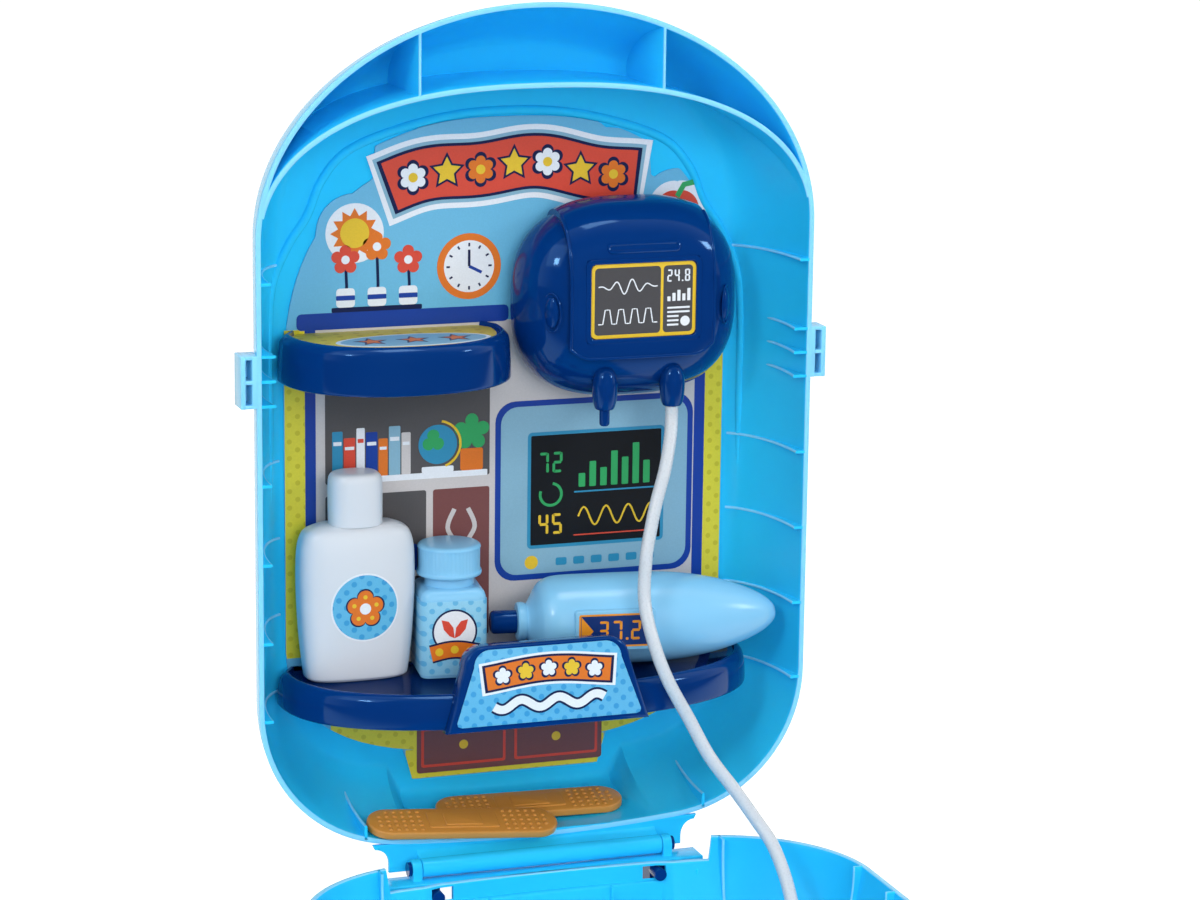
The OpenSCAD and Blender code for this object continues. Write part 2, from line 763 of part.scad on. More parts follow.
label_r = 14.6;
module bottle_label() {
    color("#7fc6ea")
        at_bottle()
            intersection() {
                difference() {
                    skin(bottle_rings([for (i = [2:5]) bottle_steps[i]], sticker_t));
                    skin(bottle_rings(bottle_steps, 0));
                }
                translate([1, 0, bottle_h * 0.49])
                    rotate([90, 0, 0]) cylinder(r = label_r, h = bottle_t);
            }
}

jar_x = bottle_x + (bottle_w + jar_w) / 2 + 1;
jar_y = 27.5;
jar_turn = -7;
jar_round = 4;
neck_r = 10.5;
neck_h = 4;
jar_cap_r = 13.4;
jar_cap_h = 13.5;
module at_jar() {
    in_lid() translate([jar_x, jar_y, tray_v + 0.05]) rotate([0, 0, jar_turn]) children();
}
module rounded_square(w, r) {
    polygon([for (q = [0:3]) for (a = [0:15:90])
        let (c = w / 2 - r, s = [[1, 1], [-1, 1], [-1, -1], [1, -1]][q])
        [s[0] * c + r * cos(a + q * 90), s[1] * c + r * sin(a + q * 90)]]);
}
module jar_body() {
    color("#7fc0ea")
        at_jar() {
            linear_extrude(jar_h - 4) rounded_square(jar_w, jar_round);
            skin([for (s = [[jar_h - 4, 0], [jar_h - 2, 0.7], [jar_h - 0.6, 2.2], [jar_h, 4]])
                [for (q = [0:3]) for (a = [0:15:90])
                    let (c = jar_w / 2 - jar_round, r = jar_round - 0.6 * s[1],
                         g = [[1, 1], [-1, 1], [-1, -1], [1, -1]][q])
                    [g[0] * (c - 0.4 * s[1]) + r * cos(a + q * 90),
                     g[1] * (c - 0.4 * s[1]) + r * sin(a + q * 90), s[0]]]]);
            translate([0, 0, jar_h - 1]) cylinder(r = neck_r, h = neck_h + 1);
            translate([0, 0, jar_h + neck_h - 0.5]) cylinder(r = neck_r - 2, h = 6);
        }
}
module jar_cap() {
    color("#79bde6")
        at_jar()
            translate([0, 0, jar_h + neck_h + 0.05])
                rotate_extrude()
                    polygon([[neck_r - 2 + pin_play * 4, 0], [jar_cap_r, 0], [jar_cap_r + 0.4, 1.2],
                             [jar_cap_r - 0.4, 2.4], [jar_cap_r - 0.4, jar_cap_h - 2],
                             [jar_cap_r, jar_cap_h - 1.5], [jar_cap_r - 0.8, jar_cap_h - 0.4],
                             [jar_cap_r - 2, jar_cap_h], [0, jar_cap_h], [0, 7],
                             [neck_r - 2 + pin_play * 4, 7]]);
}
module jar_label() {
    color("#8fd0f0")
        at_jar()
            translate([0, 0, 1.5])
                linear_extrude(jar_h - 6)
                    difference() {
                        rounded_square(jar_w + 2 * sticker_t, jar_round + sticker_t);
                        rounded_square(jar_w, jar_round);
                        translate([0, jar_w / 2]) square([jar_w + 4, 2], center = true);
                    }
}

tip_r = 5;
tip_l = 11;
thermo_x = jar_x + jar_w / 2 + tip_l + 4;
thermo_y = 25.4;
thermo_turn = -8.5;
collar_r = 8.2;
// Profile of the thermometer's body: distance from the collar, for the length here, and radius
thermo_full = 116;
thermo_prof = [
    [0, 0], [0, collar_r - 1], [0.8, collar_r], [3.2, collar_r], [4.4, collar_r - 0.8],
    [5.5, collar_r + 0.6], [8, collar_r + 5], [10.5, thermo_r - 3], [14, thermo_r - 1],
    [20, thermo_r - 0.2], [34, thermo_r], [58, thermo_r], [74, thermo_r - 1.2],
    [88, thermo_r - 3.8], [99, thermo_r - 7.4], [107, thermo_r - 11.4], [112, thermo_r - 15],
    [115, 2.2], [thermo_full, 0]];
module at_thermo() {
    in_lid()
        translate([thermo_x, thermo_y, tray_v + thermo_r + 0.05]) rotate([0, 0, thermo_turn]) children();
}
disp_x = 22;
disp_w = 34.5;
disp_h = 17.5;
disp_front = 1;
module thermometer_body() {
    color("#7fc0ea")
        at_thermo()
            difference() {
                union() {
                    rotate([0, 90, 0]) rotate_extrude() polygon([for (p = thermo_prof) [p[1], p[0] * thermo_l / thermo_full]]);
                    translate([disp_x, -thermo_r - disp_front, -disp_h / 2])
                        cube([disp_w, 10, disp_h]);
                }
                translate([disp_x + 1.5, -thermo_r - disp_front - 1, -disp_h / 2 + 1.5])
                    cube([disp_w - 3, 2, disp_h - 3]);
            }
}
module thermometer_display() {
    color("#0b3f86")
        at_thermo()
            translate([disp_x + 1.5 + seat / 2, -thermo_r - disp_front + 0.4, -disp_h / 2 + 1.5 + seat / 2])
                cube([disp_w - 3 - seat, 0.6, disp_h - 3 - seat]);
}
module thermometer_tip() {
    color("#063f8a")
        at_thermo()
            rotate([0, -90, 0])
                rotate_extrude()
                    polygon([[0, 0], [tip_r, 0], [tip_r, tip_l - 1.5], [tip_r - 1.5, tip_l], [0, tip_l]]);
}

// A toy plaster: rounded ends, a raised pad and rows of small dots
module plaster_plan(k) {
    r = plaster_w / 2 - k;
    c = plaster_l / 2 - plaster_w / 2;
    polygon(concat([for (a = [-90:15:90]) [c + r * cos(a), r * sin(a)]],
                   [for (a = [90:15:270]) [-c + r * cos(a), r * sin(a)]]));
}
module plaster() {
    translate([0, 0, -plaster_t / 2]) {
        linear_extrude(plaster_t - 0.8) plaster_plan(0);
        linear_extrude(plaster_t) plaster_plan(0.8);
        translate([0, 0, plaster_t / 2]) {
            linear_extrude(plaster_t / 2 + 0.5) square([30, 12], center = true);
            linear_extrude(plaster_t / 2 + 0.9) square([16, 9], center = true);
        }
    }
}
module plaster_front() {
    color("#cc8a3a")
        in_lid() translate([-32, 3.8, 7.9]) rotate([0, 3.5, -4]) rotate([14, 0, 0]) plaster();
}
module plaster_rear() {
    color("#cc8a3a")
        in_lid() translate([4, 23.5, 6.6]) rotate([0, 0, -4]) rotate([10, 0, 0]) plaster();
}

base_shell();
stand_foot_left();
stand_foot_right();
hinge_pin_left();
hinge_pin_right();
lid_shell();
backing_card();
upper_shelf();
upper_shelf_sticker();
lower_shelf();
sign_sticker();
monitor_housing();
monitor_front();
monitor_screen();
fixing_screws();
air_tube();
sensor_head();
sensor_rim();
bottle_body();
bottle_cap();
bottle_label();
jar_body();
jar_cap();
jar_label();
thermometer_body();
thermometer_tip();
thermometer_display();
plaster_front();
plaster_rear();
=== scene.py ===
import bpy
import bmesh
import math
import numpy as np
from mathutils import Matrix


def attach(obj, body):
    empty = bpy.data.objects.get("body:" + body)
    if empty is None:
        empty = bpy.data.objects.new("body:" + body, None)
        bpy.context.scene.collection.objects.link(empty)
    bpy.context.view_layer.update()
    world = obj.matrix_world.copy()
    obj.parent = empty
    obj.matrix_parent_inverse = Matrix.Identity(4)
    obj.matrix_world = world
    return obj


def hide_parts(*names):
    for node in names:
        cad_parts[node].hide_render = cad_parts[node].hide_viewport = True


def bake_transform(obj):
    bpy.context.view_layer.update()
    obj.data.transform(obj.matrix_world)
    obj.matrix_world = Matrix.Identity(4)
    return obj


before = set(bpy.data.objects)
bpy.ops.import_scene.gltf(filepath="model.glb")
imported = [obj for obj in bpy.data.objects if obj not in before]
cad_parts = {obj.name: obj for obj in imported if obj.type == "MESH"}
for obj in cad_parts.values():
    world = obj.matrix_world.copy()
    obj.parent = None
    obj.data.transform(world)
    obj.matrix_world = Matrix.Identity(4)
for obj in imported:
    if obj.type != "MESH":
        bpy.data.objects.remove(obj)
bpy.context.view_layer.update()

# The studio: a white sweep under soft boxes and a soft sky, as for a catalogue picture. The room behind the
# photographer is dark, which is what gloss facing the front mirrors.
# The camera stands a little to the left of the case and looks down on it by twelve and a half degrees.
right = (0.94367, -0.33064, 0.01239)
up = (0.06028, 0.20862, 0.97614)
forward = (0.32534, 0.92041, -0.21681)
camera_data = bpy.data.cameras.new("camera")
camera_data.lens = 108
camera_data.sensor_width = 36
camera_data.clip_end = 60
camera = bpy.data.objects.new("camera", camera_data)
camera.location = (-0.460534, -1.187876, 0.538511)
camera.rotation_euler = (math.atan2(up[2], -forward[2]), -math.asin(right[2]), math.atan2(right[1], right[0]))
bpy.context.collection.objects.link(camera)
bpy.context.scene.camera = camera
bpy.context.scene.view_settings.view_transform = "Standard"


def add(tree, kind, sockets=None, **fields):
    """Adds one node: fields are its own settings, sockets its inputs, each a value, another node's output, or
    another node, which stands for its first output."""
    made = tree.nodes.new(kind)
    for field, value in fields.items():
        setattr(made, field, value)
    for socket, value in (sockets or {}).items():
        value = value.outputs[0] if isinstance(value, bpy.types.Node) else value
        if isinstance(value, bpy.types.NodeSocket):
            tree.links.new(value, made.inputs[socket])
        else:
            made.inputs[socket].default_value = value
    return made


def seen(tree):
    """1 for rays from the eye, in a mirror or through glass, so that those see the white backdrop."""
    path = add(tree, "ShaderNodeLightPath")
    first = add(tree, "ShaderNodeMath", {0: path.outputs["Is Camera Ray"], 1: path.outputs["Is Glossy Ray"]},
                operation="MAXIMUM")
    return add(tree, "ShaderNodeMath", {0: first, 1: path.outputs["Is Transmission Ray"]},
               operation="MAXIMUM").outputs[0]


world = bpy.data.worlds.new("soft_sky")
world.use_nodes = True
bpy.context.scene.world = world
sky = world.node_tree
sky.nodes.clear()
sky_way = add(sky, "ShaderNodeSeparateXYZ", {0: add(sky, "ShaderNodeTexCoord").outputs["Generated"]})
sky_side = add(sky, "ShaderNodeMapRange", {"Value": sky_way.outputs[1], "From Min": -0.75, "From Max": -0.1,
                                           "To Min": 0.12, "To Max": 1.0}, interpolation_type="SMOOTHSTEP")
sky_ray = add(sky, "ShaderNodeLightPath")
sky_mirror = add(sky, "ShaderNodeMix", {0: sky_ray.outputs["Is Glossy Ray"], 2: 1.0, 3: sky_side})
sky_level = add(sky, "ShaderNodeMapRange", {"Value": seen(sky), "To Min": 0.5, "To Max": sky_mirror})
sky_back = add(sky, "ShaderNodeBackground", {"Color": (1, 1, 1, 1), "Strength": sky_level})
add(sky, "ShaderNodeOutputWorld", {"Surface": sky_back})


def lamp(name, place, aim, size, watts, mirrored=True):
    """A square soft box at place, facing aim: tilt is the angle from straight down, turn is about the vertical."""
    data = bpy.data.lights.new(name, "AREA")
    data.size = size
    data.energy = watts
    made = bpy.data.objects.new(name, data)
    d = np.subtract(aim, place)
    d = d / np.linalg.norm(d)
    made.location = place
    made.rotation_euler = (math.acos(-d[2]), 0, math.atan2(-d[0], d[1]))
    made.visible_glossy = mirrored
    bpy.context.collection.objects.link(made)


case_middle = (0, 0.18, 0.2)
lamp("key_box", (-1.25, -0.95, 1.15), case_middle, 0.26, 5)
lamp("left_box", (-1.2, -0.7, 1.35), case_middle, 1.0, 4)
lamp("fill_box", (1.35, -0.75, 0.95), case_middle, 0.26, 4)
lamp("top_box", (0.1, -0.1, 1.7), (0, 0.15, 0.2), 0.5, 4)
lamp("front_box", (-0.1, -1.9, 0.75), case_middle, 1.3, 20, mirrored=False)


def blank(name):
    """An empty node material, its tree, and its object coordinates, in metres."""
    made = bpy.data.materials.new(name)
    made.use_nodes = True
    made.node_tree.nodes.clear()
    return made, made.node_tree, add(made.node_tree, "ShaderNodeTexCoord").outputs["Object"]


# The floor glows a little for the eye, so that it is plain white round the object and still shows its shadow.
reach, floor_lift, floor_white = 30, 0.76, 0.64
floor_mesh = bpy.data.meshes.new("floor")
floor_mesh.from_pydata([(-reach, -reach, 0), (reach, -reach, 0), (reach, reach, 0), (-reach, reach, 0)], [],
                       [(0, 1, 2, 3)])
floor = bpy.data.objects.new("floor", floor_mesh)
bpy.context.collection.objects.link(floor)
floor_paint, tree, floor_place = blank("matt_white_backdrop_paint")
floor_y = add(tree, "ShaderNodeSeparateXYZ", {0: floor_place}).outputs[1]
floor_dark = add(tree, "ShaderNodeMapRange", {"Value": floor_y, "From Min": -0.3, "From Max": 0.05, "To Min": 0.92,
                                              "To Max": 0.0}, interpolation_type="SMOOTHSTEP")
floor_loss = add(tree, "ShaderNodeMath", {0: add(tree, "ShaderNodeLightPath").outputs["Is Glossy Ray"],
                                          1: floor_dark}, operation="MULTIPLY")
floor_keep = add(tree, "ShaderNodeMath", {0: 1.0, 1: floor_loss}, operation="SUBTRACT")
floor_seen = add(tree, "ShaderNodeMath", {0: seen(tree), 1: floor_lift}, operation="MULTIPLY")
floor_level = add(tree, "ShaderNodeMath", {0: floor_seen, 1: floor_keep}, operation="MULTIPLY")
floor_tone = add(tree, "ShaderNodeMath", {0: floor_keep, 1: floor_white}, operation="MULTIPLY")
floor_glow = add(tree, "ShaderNodeEmission", {"Color": (1, 1, 1, 1), "Strength": floor_level})
floor_matt = add(tree, "ShaderNodeBsdfDiffuse", {"Color": floor_tone})
floor_sum = add(tree, "ShaderNodeAddShader", {0: floor_glow, 1: floor_matt})
add(tree, "ShaderNodeOutputMaterial", {"Surface": floor_sum})
floor_mesh.materials.append(floor_paint)


# The air tube: soft white vinyl tube, extruded, pushed over the right nozzle of the toy monitor.
# It hangs down past the sign, dips into the base and ends in the sensor head, which lies on the floor of the base.
tube_d = 5.5
tube_route = np.array([
    [62, 12, 180.5], [62, 12, 175], [60, 8, 167], [55.3, 1, 155.5], [50.4, -3, 143.5],
    [46.7, -6, 131.5], [43.8, -9, 120], [42.3, -12, 103.5], [43.5, -19, 88.5], [48.5, -24, 72],
    [57.5, -27, 54.5], [65, -32, 39], [74.5, -38, 25], [81, -46, 14], [85, -54, 6],
    [86.5, -64, -3.5], [87, -72, -13.5], [86, -82, -25], [82, -93, -34], [74, -102, -40],
    [63, -108, -42.8], [50, -112, -43.3], [36, -114, -43.3], [22, -115, -43.3], [8, -115, -43.3],
    [-6, -115, -43.3], [-16, -115, -43.3]])


def hexcol(code):
    """Linear colour of an sRGB hex value: a channel c becomes c / 12.92 when dark, else ((c + 0.055) / 1.055) to
    the power 2.4."""
    c = np.array([int(code[i:i + 2], 16) for i in (1, 3, 5)]) / 255
    c = np.where(c <= 0.04045, c / 12.92, ((c + 0.055) / 1.055) ** 2.4)
    return (*c.tolist(), 1.0)


cloud_size = 45.0


def moulded(name, colour, shade, roughness, grain, bump, scatter=0.0, depth=2.5, tint="#FFFFFF"):
    """Moulded plastic: two near colours in slow clouds, and a fine mould grain (grain, mm) in gloss and bump.
    scatter is the share of light that goes into the wall, depth how far in mm; tint colours the gloss."""
    made, t, place = blank(name)
    slow = add(t, "ShaderNodeTexNoise", {"Vector": place, "Scale": 1000 / cloud_size, "Detail": 3.0})
    two = add(t, "ShaderNodeMix", {0: slow, 6: hexcol(colour), 7: hexcol(shade)}, data_type="RGBA")
    fine = add(t, "ShaderNodeTexNoise", {"Vector": place, "Scale": 1000 / grain, "Detail": 2.0})
    gloss = add(t, "ShaderNodeMapRange", {"Value": fine, "To Min": roughness * 0.85,
                                          "To Max": roughness * 1.15})
    relief = add(t, "ShaderNodeBump", {"Height": fine, "Strength": bump, "Distance": 0.0002})
    body = add(t, "ShaderNodeBsdfPrincipled", {
        "Base Color": two.outputs[2], "Roughness": gloss, "Normal": relief, "IOR": 1.5,
        "Specular Tint": hexcol(tint), "Subsurface Weight": scatter, "Subsurface Radius": (0.4, 0.8, 1.0),
        "Subsurface Scale": depth / 1000}, subsurface_method="BURLEY")
    add(t, "ShaderNodeOutputMaterial", {"Surface": body})
    return made


def curve_through(points, per):
    """Catmull and Rom's cubic through the rows of points, the ends doubled, with per steps on each span."""
    p = np.asarray(points, float)
    q = np.vstack([p[:1], p, p[-1:]])
    a, b, c, d = (q[i:len(q) - 3 + i, None, :] for i in range(4))
    t = (np.arange(per) / per)[None, :, None]
    spans = 0.5 * (2 * b + (c - a) * t + (2 * a - 5 * b + 4 * c - d) * t ** 2 + (3 * b - a - 3 * c + d) * t ** 3)
    return np.vstack([spans.reshape(-1, p.shape[1]), p[-1:]])


def cols(*values):
    """The values side by side, as the last axis of one array, such as the coordinates of points."""
    return np.stack(np.broadcast_arrays(*values), -1)


def grid(rows, columns):
    """The quads between the points of a grid stored row by row, whose last column joins its first."""
    i = np.arange(rows - 1)[:, None] * columns
    j = np.arange(columns)[None, :]
    a, b = i + j, i + (j + 1) % columns
    return cols(a, b, b + columns, a + columns).reshape(-1, 4)


def solid(rings, mat=0, caps=True):
    """A closed skin over equal rings of points, its two end rings filled; mat is one number or one for each face."""
    m, n = rings.shape[:2]
    faces = grid(m, n).tolist()
    if caps:
        faces += [list(range(n)), list(range((m - 1) * n, m * n))]
    return rings.reshape(-1, 3), faces, mat


def hose(line, radius, sides=16, ref=(0.3, 0.9, 0.2)):
    """Rings round a line: the circle's axes are the direction crossed with ref, and that crossed again."""
    d = np.gradient(line, axis=0)
    d /= np.linalg.norm(d, axis=1)[:, None] + 1e-12
    u = np.cross(d, ref)
    u /= np.linalg.norm(u, axis=1)[:, None]
    w = np.cross(d, u)
    a = np.linspace(0, 2 * np.pi, sides, endpoint=False)[None, :, None]
    r = np.broadcast_to(np.asarray(radius, float).reshape(-1, 1, 1), (len(line), 1, 1))
    return line[:, None] + r * (np.cos(a) * u[:, None] + np.sin(a) * w[:, None])


def ease_edges(piece, width, segments):
    """A bevel of width mm on every edge sharper than 40 degrees."""
    edge = piece.modifiers.new("edge", "BEVEL")
    edge.width = width / 1000
    edge.segments = segments
    edge.limit_method = "ANGLE"
    edge.angle_limit = math.radians(40)
    return edge


def build(name, parts, materials, body, stands_for=(), crease=35, bevel=0.0):
    """One piece from parts in millimetres: doubles merged, faces turned outwards, edges sharper than crease kept."""
    verts, faces, which, start = [], [], [], 0
    for points, polygons, mat in parts:
        verts.append(points)
        faces += [[start + int(k) for k in f] for f in polygons]
        which += [int(k) for k in np.broadcast_to(mat, len(polygons))]
        start += len(points)
    mesh = bpy.data.meshes.new(name)
    mesh.from_pydata((np.vstack(verts) / 1000).tolist(), [], faces)
    for m in materials:
        mesh.materials.append(m)
    mesh.polygons.foreach_set("material_index", which)
    work = bmesh.new()
    work.from_mesh(mesh)
    bmesh.ops.remove_doubles(work, verts=work.verts, dist=1e-6)
    bmesh.ops.recalc_face_normals(work, faces=work.faces)
    work.to_mesh(mesh)
    work.free()
    mesh.polygons.foreach_set("use_smooth", [True] * len(mesh.polygons))
    mesh.set_sharp_from_angle(angle=math.radians(crease))
    piece = bpy.data.objects.new(name, mesh)
    bpy.context.collection.objects.link(piece)
    if bevel:
        ease_edges(piece, bevel, 2).harden_normals = True
    if body:
        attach(piece, body)
    if stands_for:
        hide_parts(*stands_for)
    return piece


lid_foot = np.array([0, 188.5, 48.3])


def lid_place(p):
    """From the lid's frame (across, in from the rim plane, up from its foot) to the part's frame, in millimetres."""
    return np.asarray(p, float) + lid_foot


# Extruded soft vinyl is milky and faintly blue: light goes a little way in, and its satin gloss has hardly any
# grain.
soft_vinyl = moulded("extruded_soft_white_vinyl", "#CED4D9", "#C6CDD4", 0.28, 0.9, 0.008, 0.3)
tube_line = lid_place(curve_through(tube_route, 10))
tube = build("air_tube_visual", [solid(hose(tube_line, tube_d / 2, 20))], [soft_vinyl], None,
             ["air_tube"])
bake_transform(tube)


def turned(profile, place, sides=64):
    """A turned shape: each row (radius, height) of profile becomes a ring round the local z axis."""
    p = np.asarray(profile, float)
    a = np.linspace(0, 2 * np.pi, sides, endpoint=False)[None, :]
    rings = cols(p[:, :1] * np.cos(a), p[:, :1] * np.sin(a), p[:, 1:2])
    return solid(place(rings), caps=False)


# The sensor head on the tube's end: a glossy dark blue ABS button, turned and slightly domed, pressed into a soft
# white vinyl rim. It lies flat on the floor of the base.
sensor_r = 17.0


def at_sensor(p):
    """From the head's own frame, on its axis at floor level, to the part's frame."""
    return lid_place(np.asarray(p) + tube_route[-1] - (sensor_r, 0, tube_d / 2))


# Polished moulds give this plastic a near mirror gloss, faintly wavy, over a deep and even blue.
navy = moulded("glossy_dark_blue_abs", "#022D6C", "#033276", 0.09, 2.5, 0.01, tint="#8CCAFF")
head_profile = np.vstack([[0, 0.6], [sensor_r - 3, 0.6], curve_through(
    [[sensor_r - 2.5, 1.2], [sensor_r - 2.5, 5.2], [sensor_r - 3.2, 6.2], [sensor_r - 5.5, 7.1],
     [sensor_r - 9, 8.0], [4, 8.3], [0, 8.35]], 5)])
head = build("sensor_head_visual", [turned(head_profile, at_sensor)], [navy], "base", ["sensor_head"])
rim_profile = curve_through([[sensor_r - 2.6, 0.3], [sensor_r - 1.2, 0.05], [sensor_r - 0.2, 0.9], [sensor_r, 2.9],
                             [sensor_r - 0.3, 4.8], [sensor_r - 1.3, 5.4], [sensor_r - 2.6, 5.2]], 4)
head_rim = build("sensor_rim_visual", [turned(np.vstack([rim_profile, rim_profile[:1]]), at_sensor)], [soft_vinyl],
                 "base", ["sensor_rim"])


# The two halves: bath-shaped injection mouldings in light blue polypropylene, with a curved edge all round.
# Each is one closed skin: inner wall, rounded rim, outer wall, with ribs, fins and catches moulded on.
case_w, case_h, half_d, wall = 240.0, 352.0, 47.5, 2.2
dome_h, corner_r, heel_r = 94.5, 62.0, 700.0
edge_in, foot_in, foot_w, draft, edge_p, foot_p = 20.0, 11.5, 96.0, 0.1, 1.9, 3.5
dome_v = case_h - dome_h
corner_x = case_w / 2 - corner_r
corner_v = heel_r - math.sqrt((heel_r - corner_r) ** 2 - corner_x ** 2)
heel_a = math.asin(corner_x / (heel_r - corner_r))
notch = 71.0
# Where the heel and the depth need extra points: the low stretch's ends, and the edges of the base's two slots.
foot_marks = [42, 48, 52, 55]
slot_shares = [0.0587, 0.2053]

# Injection-moulded polypropylene is a little milky: light goes into its wall, and its gloss is soft.
polypropylene = moulded("light_blue_polypropylene", "#30CEFF", "#26C6FC", 0.2, 0.7, 0.012, 0.6, 1.5, "#B8E4FF")
# Where a rib or a rim is thin, light comes through the plastic and its edge catches a highlight. Both are painted in
# as a paler copy of the wall's colour, a painted glow.
painted_glow_edge = moulded("light_blue_polypropylene_thin_edge", "#8CDCFF", "#84D6FC", 0.24, 0.7, 0.012, 0.6, 1.0)


def rim_outline():
    """Outline at the rim, anticlockwise: half ellipse, straight side, round corner, shallow heel arc and back.
    Each row is x, height, outward normal (2), and the share of the low stretch at the heel. The corners have two
    points at the notch's edge, and the heel has more at foot_marks, where the low stretch and the slots begin."""
    a = np.radians(np.linspace(0, 180, 145))
    half_w = case_w / 2
    dome = cols(half_w * np.cos(a), dome_v + dome_h * np.sin(a), dome_h * np.cos(a), half_w * np.sin(a))
    v = np.linspace(dome_v, corner_v, 14)[1:-1]
    side = cols(-half_w, v, -1, 0)
    edge = math.degrees(math.acos((notch - corner_x) / corner_r))
    b = np.radians(np.sort(np.append(np.linspace(0, 90 - math.degrees(heel_a), 22), [edge, edge + 0.01])))
    c, d = np.cos(b), np.sin(b)
    right_corner = cols(corner_x + corner_r * c, corner_v - corner_r * d, c, -d)
    left_corner = right_corner * (-1, 1, -1, 1)
    end = heel_r * math.sin(heel_a)
    x = np.sort(np.concatenate([np.linspace(-end, end, 41)[1:-1], foot_marks, np.negative(foot_marks)]))
    a = np.arcsin(x / heel_r)
    heel = cols(x, heel_r - heel_r * np.cos(a), np.sin(a), -np.cos(a))
    rows = np.vstack([dome, side, left_corner, heel, right_corner[::-1], (side * (-1, 1, -1, 1))[::-1]])
    rows[:, 2:] /= np.linalg.norm(rows[:, 2:], axis=1)[:, None]
    low = np.clip((foot_w / 2 + 7 - np.abs(rows[:, 0])) / 7, 0, 1) * (rows[:, 1] < 40)
    return np.column_stack([rows, low])


outline = rim_outline()
along = (np.arange(16) / 16)[None, :, None]
rim_line = outline[:, None, :2]
dense_rim = (rim_line * (1 - along) + np.roll(rim_line, -1, 0) * along).reshape(-1, 2)


def inset(t, low=0.0):
    """How far the wall has come in at the share t of the depth: a slope plus a rounded edge of superellipse form."""
    t = np.clip(t, 0, 1)
    edge = draft * half_d * t + (edge_in - draft * half_d) * (1 - (1 - t ** edge_p) ** (1 / edge_p))
    foot = foot_in * (1 - (1 - t ** foot_p) ** (1 / foot_p))
    return (1 - low) * edge + low * foot


def half_rings(first):
    """Rows of the skin from the inner floor over the rim to the outer back, closer together towards the rim, with
    two more at the slots' edges; first is each point's share of the depth that is cut off at the rim."""
    t = np.sort(np.append(np.sin(np.linspace(0, np.pi / 2, 26)) ** (1 / 0.95), slot_shares))
    rims = {wall: [(wall, 0.5), (wall - 0.15, 0.15), (wall - 0.5, 0)], 0.0: [(0.5, 0), (0.15, 0.15), (0, 0.5)]}
    rows = []
    for off, depth, shares in ((wall, half_d - wall, t[::-1]), (0.0, half_d, t)):
        for s in shares:
            share = first + (1 - first) * s
            steps = [(off, share * depth)] if s else [(o, first * half_d + down) for o, down in rims[off]]
            for o, w in steps:
                k = inset(share, outline[:, 4]) + o
                rows.append(cols(outline[:, 0] - k * outline[:, 2], outline[:, 1] - k * outline[:, 3], w))
    return np.array(rows)


def depth_at(x, v):
    """Depth at which the middle of a half's wall lies over each point, from its distance to the rim outline."""
    gap = np.hypot(np.subtract.outer(x, dense_rim[:, 0]), np.subtract.outer(v, dense_rim[:, 1])).min(-1)
    t = np.linspace(0, 1, 400)
    return np.interp(gap - wall / 2, inset(t), t * (half_d - wall / 2))


def banded(rows, columns, first, last):
    """Material 1, the paler copy with the painted glow, for the faces in a skin's columns first to last, and 0
    elsewhere.
    """
    column = np.arange((rows - 1) * columns) % columns
    return np.append((column >= first) & (column <= last), [0, 0]).astype(int)


def web(back, front, across):
    """A thin moulded rib between two edge lines, rounded along its front edge, which is given the painted glow;
    across is its thickness vector.
    """
    back, front, half = np.asarray(back, float), np.asarray(front, float), np.asarray(across, float) / 2
    u = front - back
    u /= np.linalg.norm(u, axis=1)[:, None] + 1e-9
    r = np.linalg.norm(half)
    rings = np.stack([back + half, front - r * u + half, front - 0.3 * r * u + 0.7 * half, front,
                      front - 0.3 * r * u - 0.7 * half, front - r * u - half, back - half], 1)
    return solid(rings, banded(len(rings), 7, 1, 4))


def shrink(shape, d):
    """A closed anticlockwise outline moved in by d along its corners' bisectors."""
    a = shape - np.roll(shape, 1, 0)
    b = np.roll(shape, -1, 0) - shape
    a = cols(a[:, 1], -a[:, 0]) / (np.linalg.norm(a, axis=1)[:, None] + 1e-12)
    b = cols(b[:, 1], -b[:, 0]) / (np.linalg.norm(b, axis=1)[:, None] + 1e-12)
    return shape - d * (a + b) / np.maximum(1 + (a * b).sum(1), 0.35)[:, None]


def pad(shape, z0, z1, r0, r1, place, mat=0):
    """A slab of the given outline from z0 to z1, its two edges rounded by quarter circles of radius r0 and r1."""
    rows = []
    for z, r, way in ((z0, r0, 1), (z1, r1, -1)):
        for q in (np.linspace(0, np.pi / 2, 4) if r else [0.0])[::way]:
            s = shrink(shape, r * (1 - math.sin(q)))
            rows.append(cols(*s.T, z + way * r * (1 - math.cos(q))))
    return solid(place(np.array(rows)), mat)


def box_outline(x0, x1, y0, y1, r, steps=4):
    """A rectangle with corners of radius r, anticlockwise."""
    a = np.linspace(0, np.pi / 2, steps)
    turns = [(x1 - r, y1 - r, 0), (x0 + r, y1 - r, 1), (x0 + r, y0 + r, 2), (x1 - r, y0 + r, 3)]
    return np.vstack([cols(cx + r * np.cos(a + q * np.pi / 2), cy + r * np.sin(a + q * np.pi / 2))
                      for cx, cy, q in turns])


def block(lo, hi, place, r=0.4, mat=0):
    """A small moulded block between two corners, its edges eased."""
    return pad(box_outline(lo[0], hi[0], lo[1], hi[1], r), lo[2], hi[2], r, r, place, mat)


def half_place(p):
    """From a half's frame (across, from the hinge end, down into its depth) to the standing lid."""
    return lid_place(np.asarray(p, float)[..., [0, 2, 1]])


catch_v, catch_l, catch_d, tongue_l = 202.5, 21.5, 11.0, 7.1
rib_t, rib_pitch, fin_x, fin_l = 1.2, 33, 75, 40


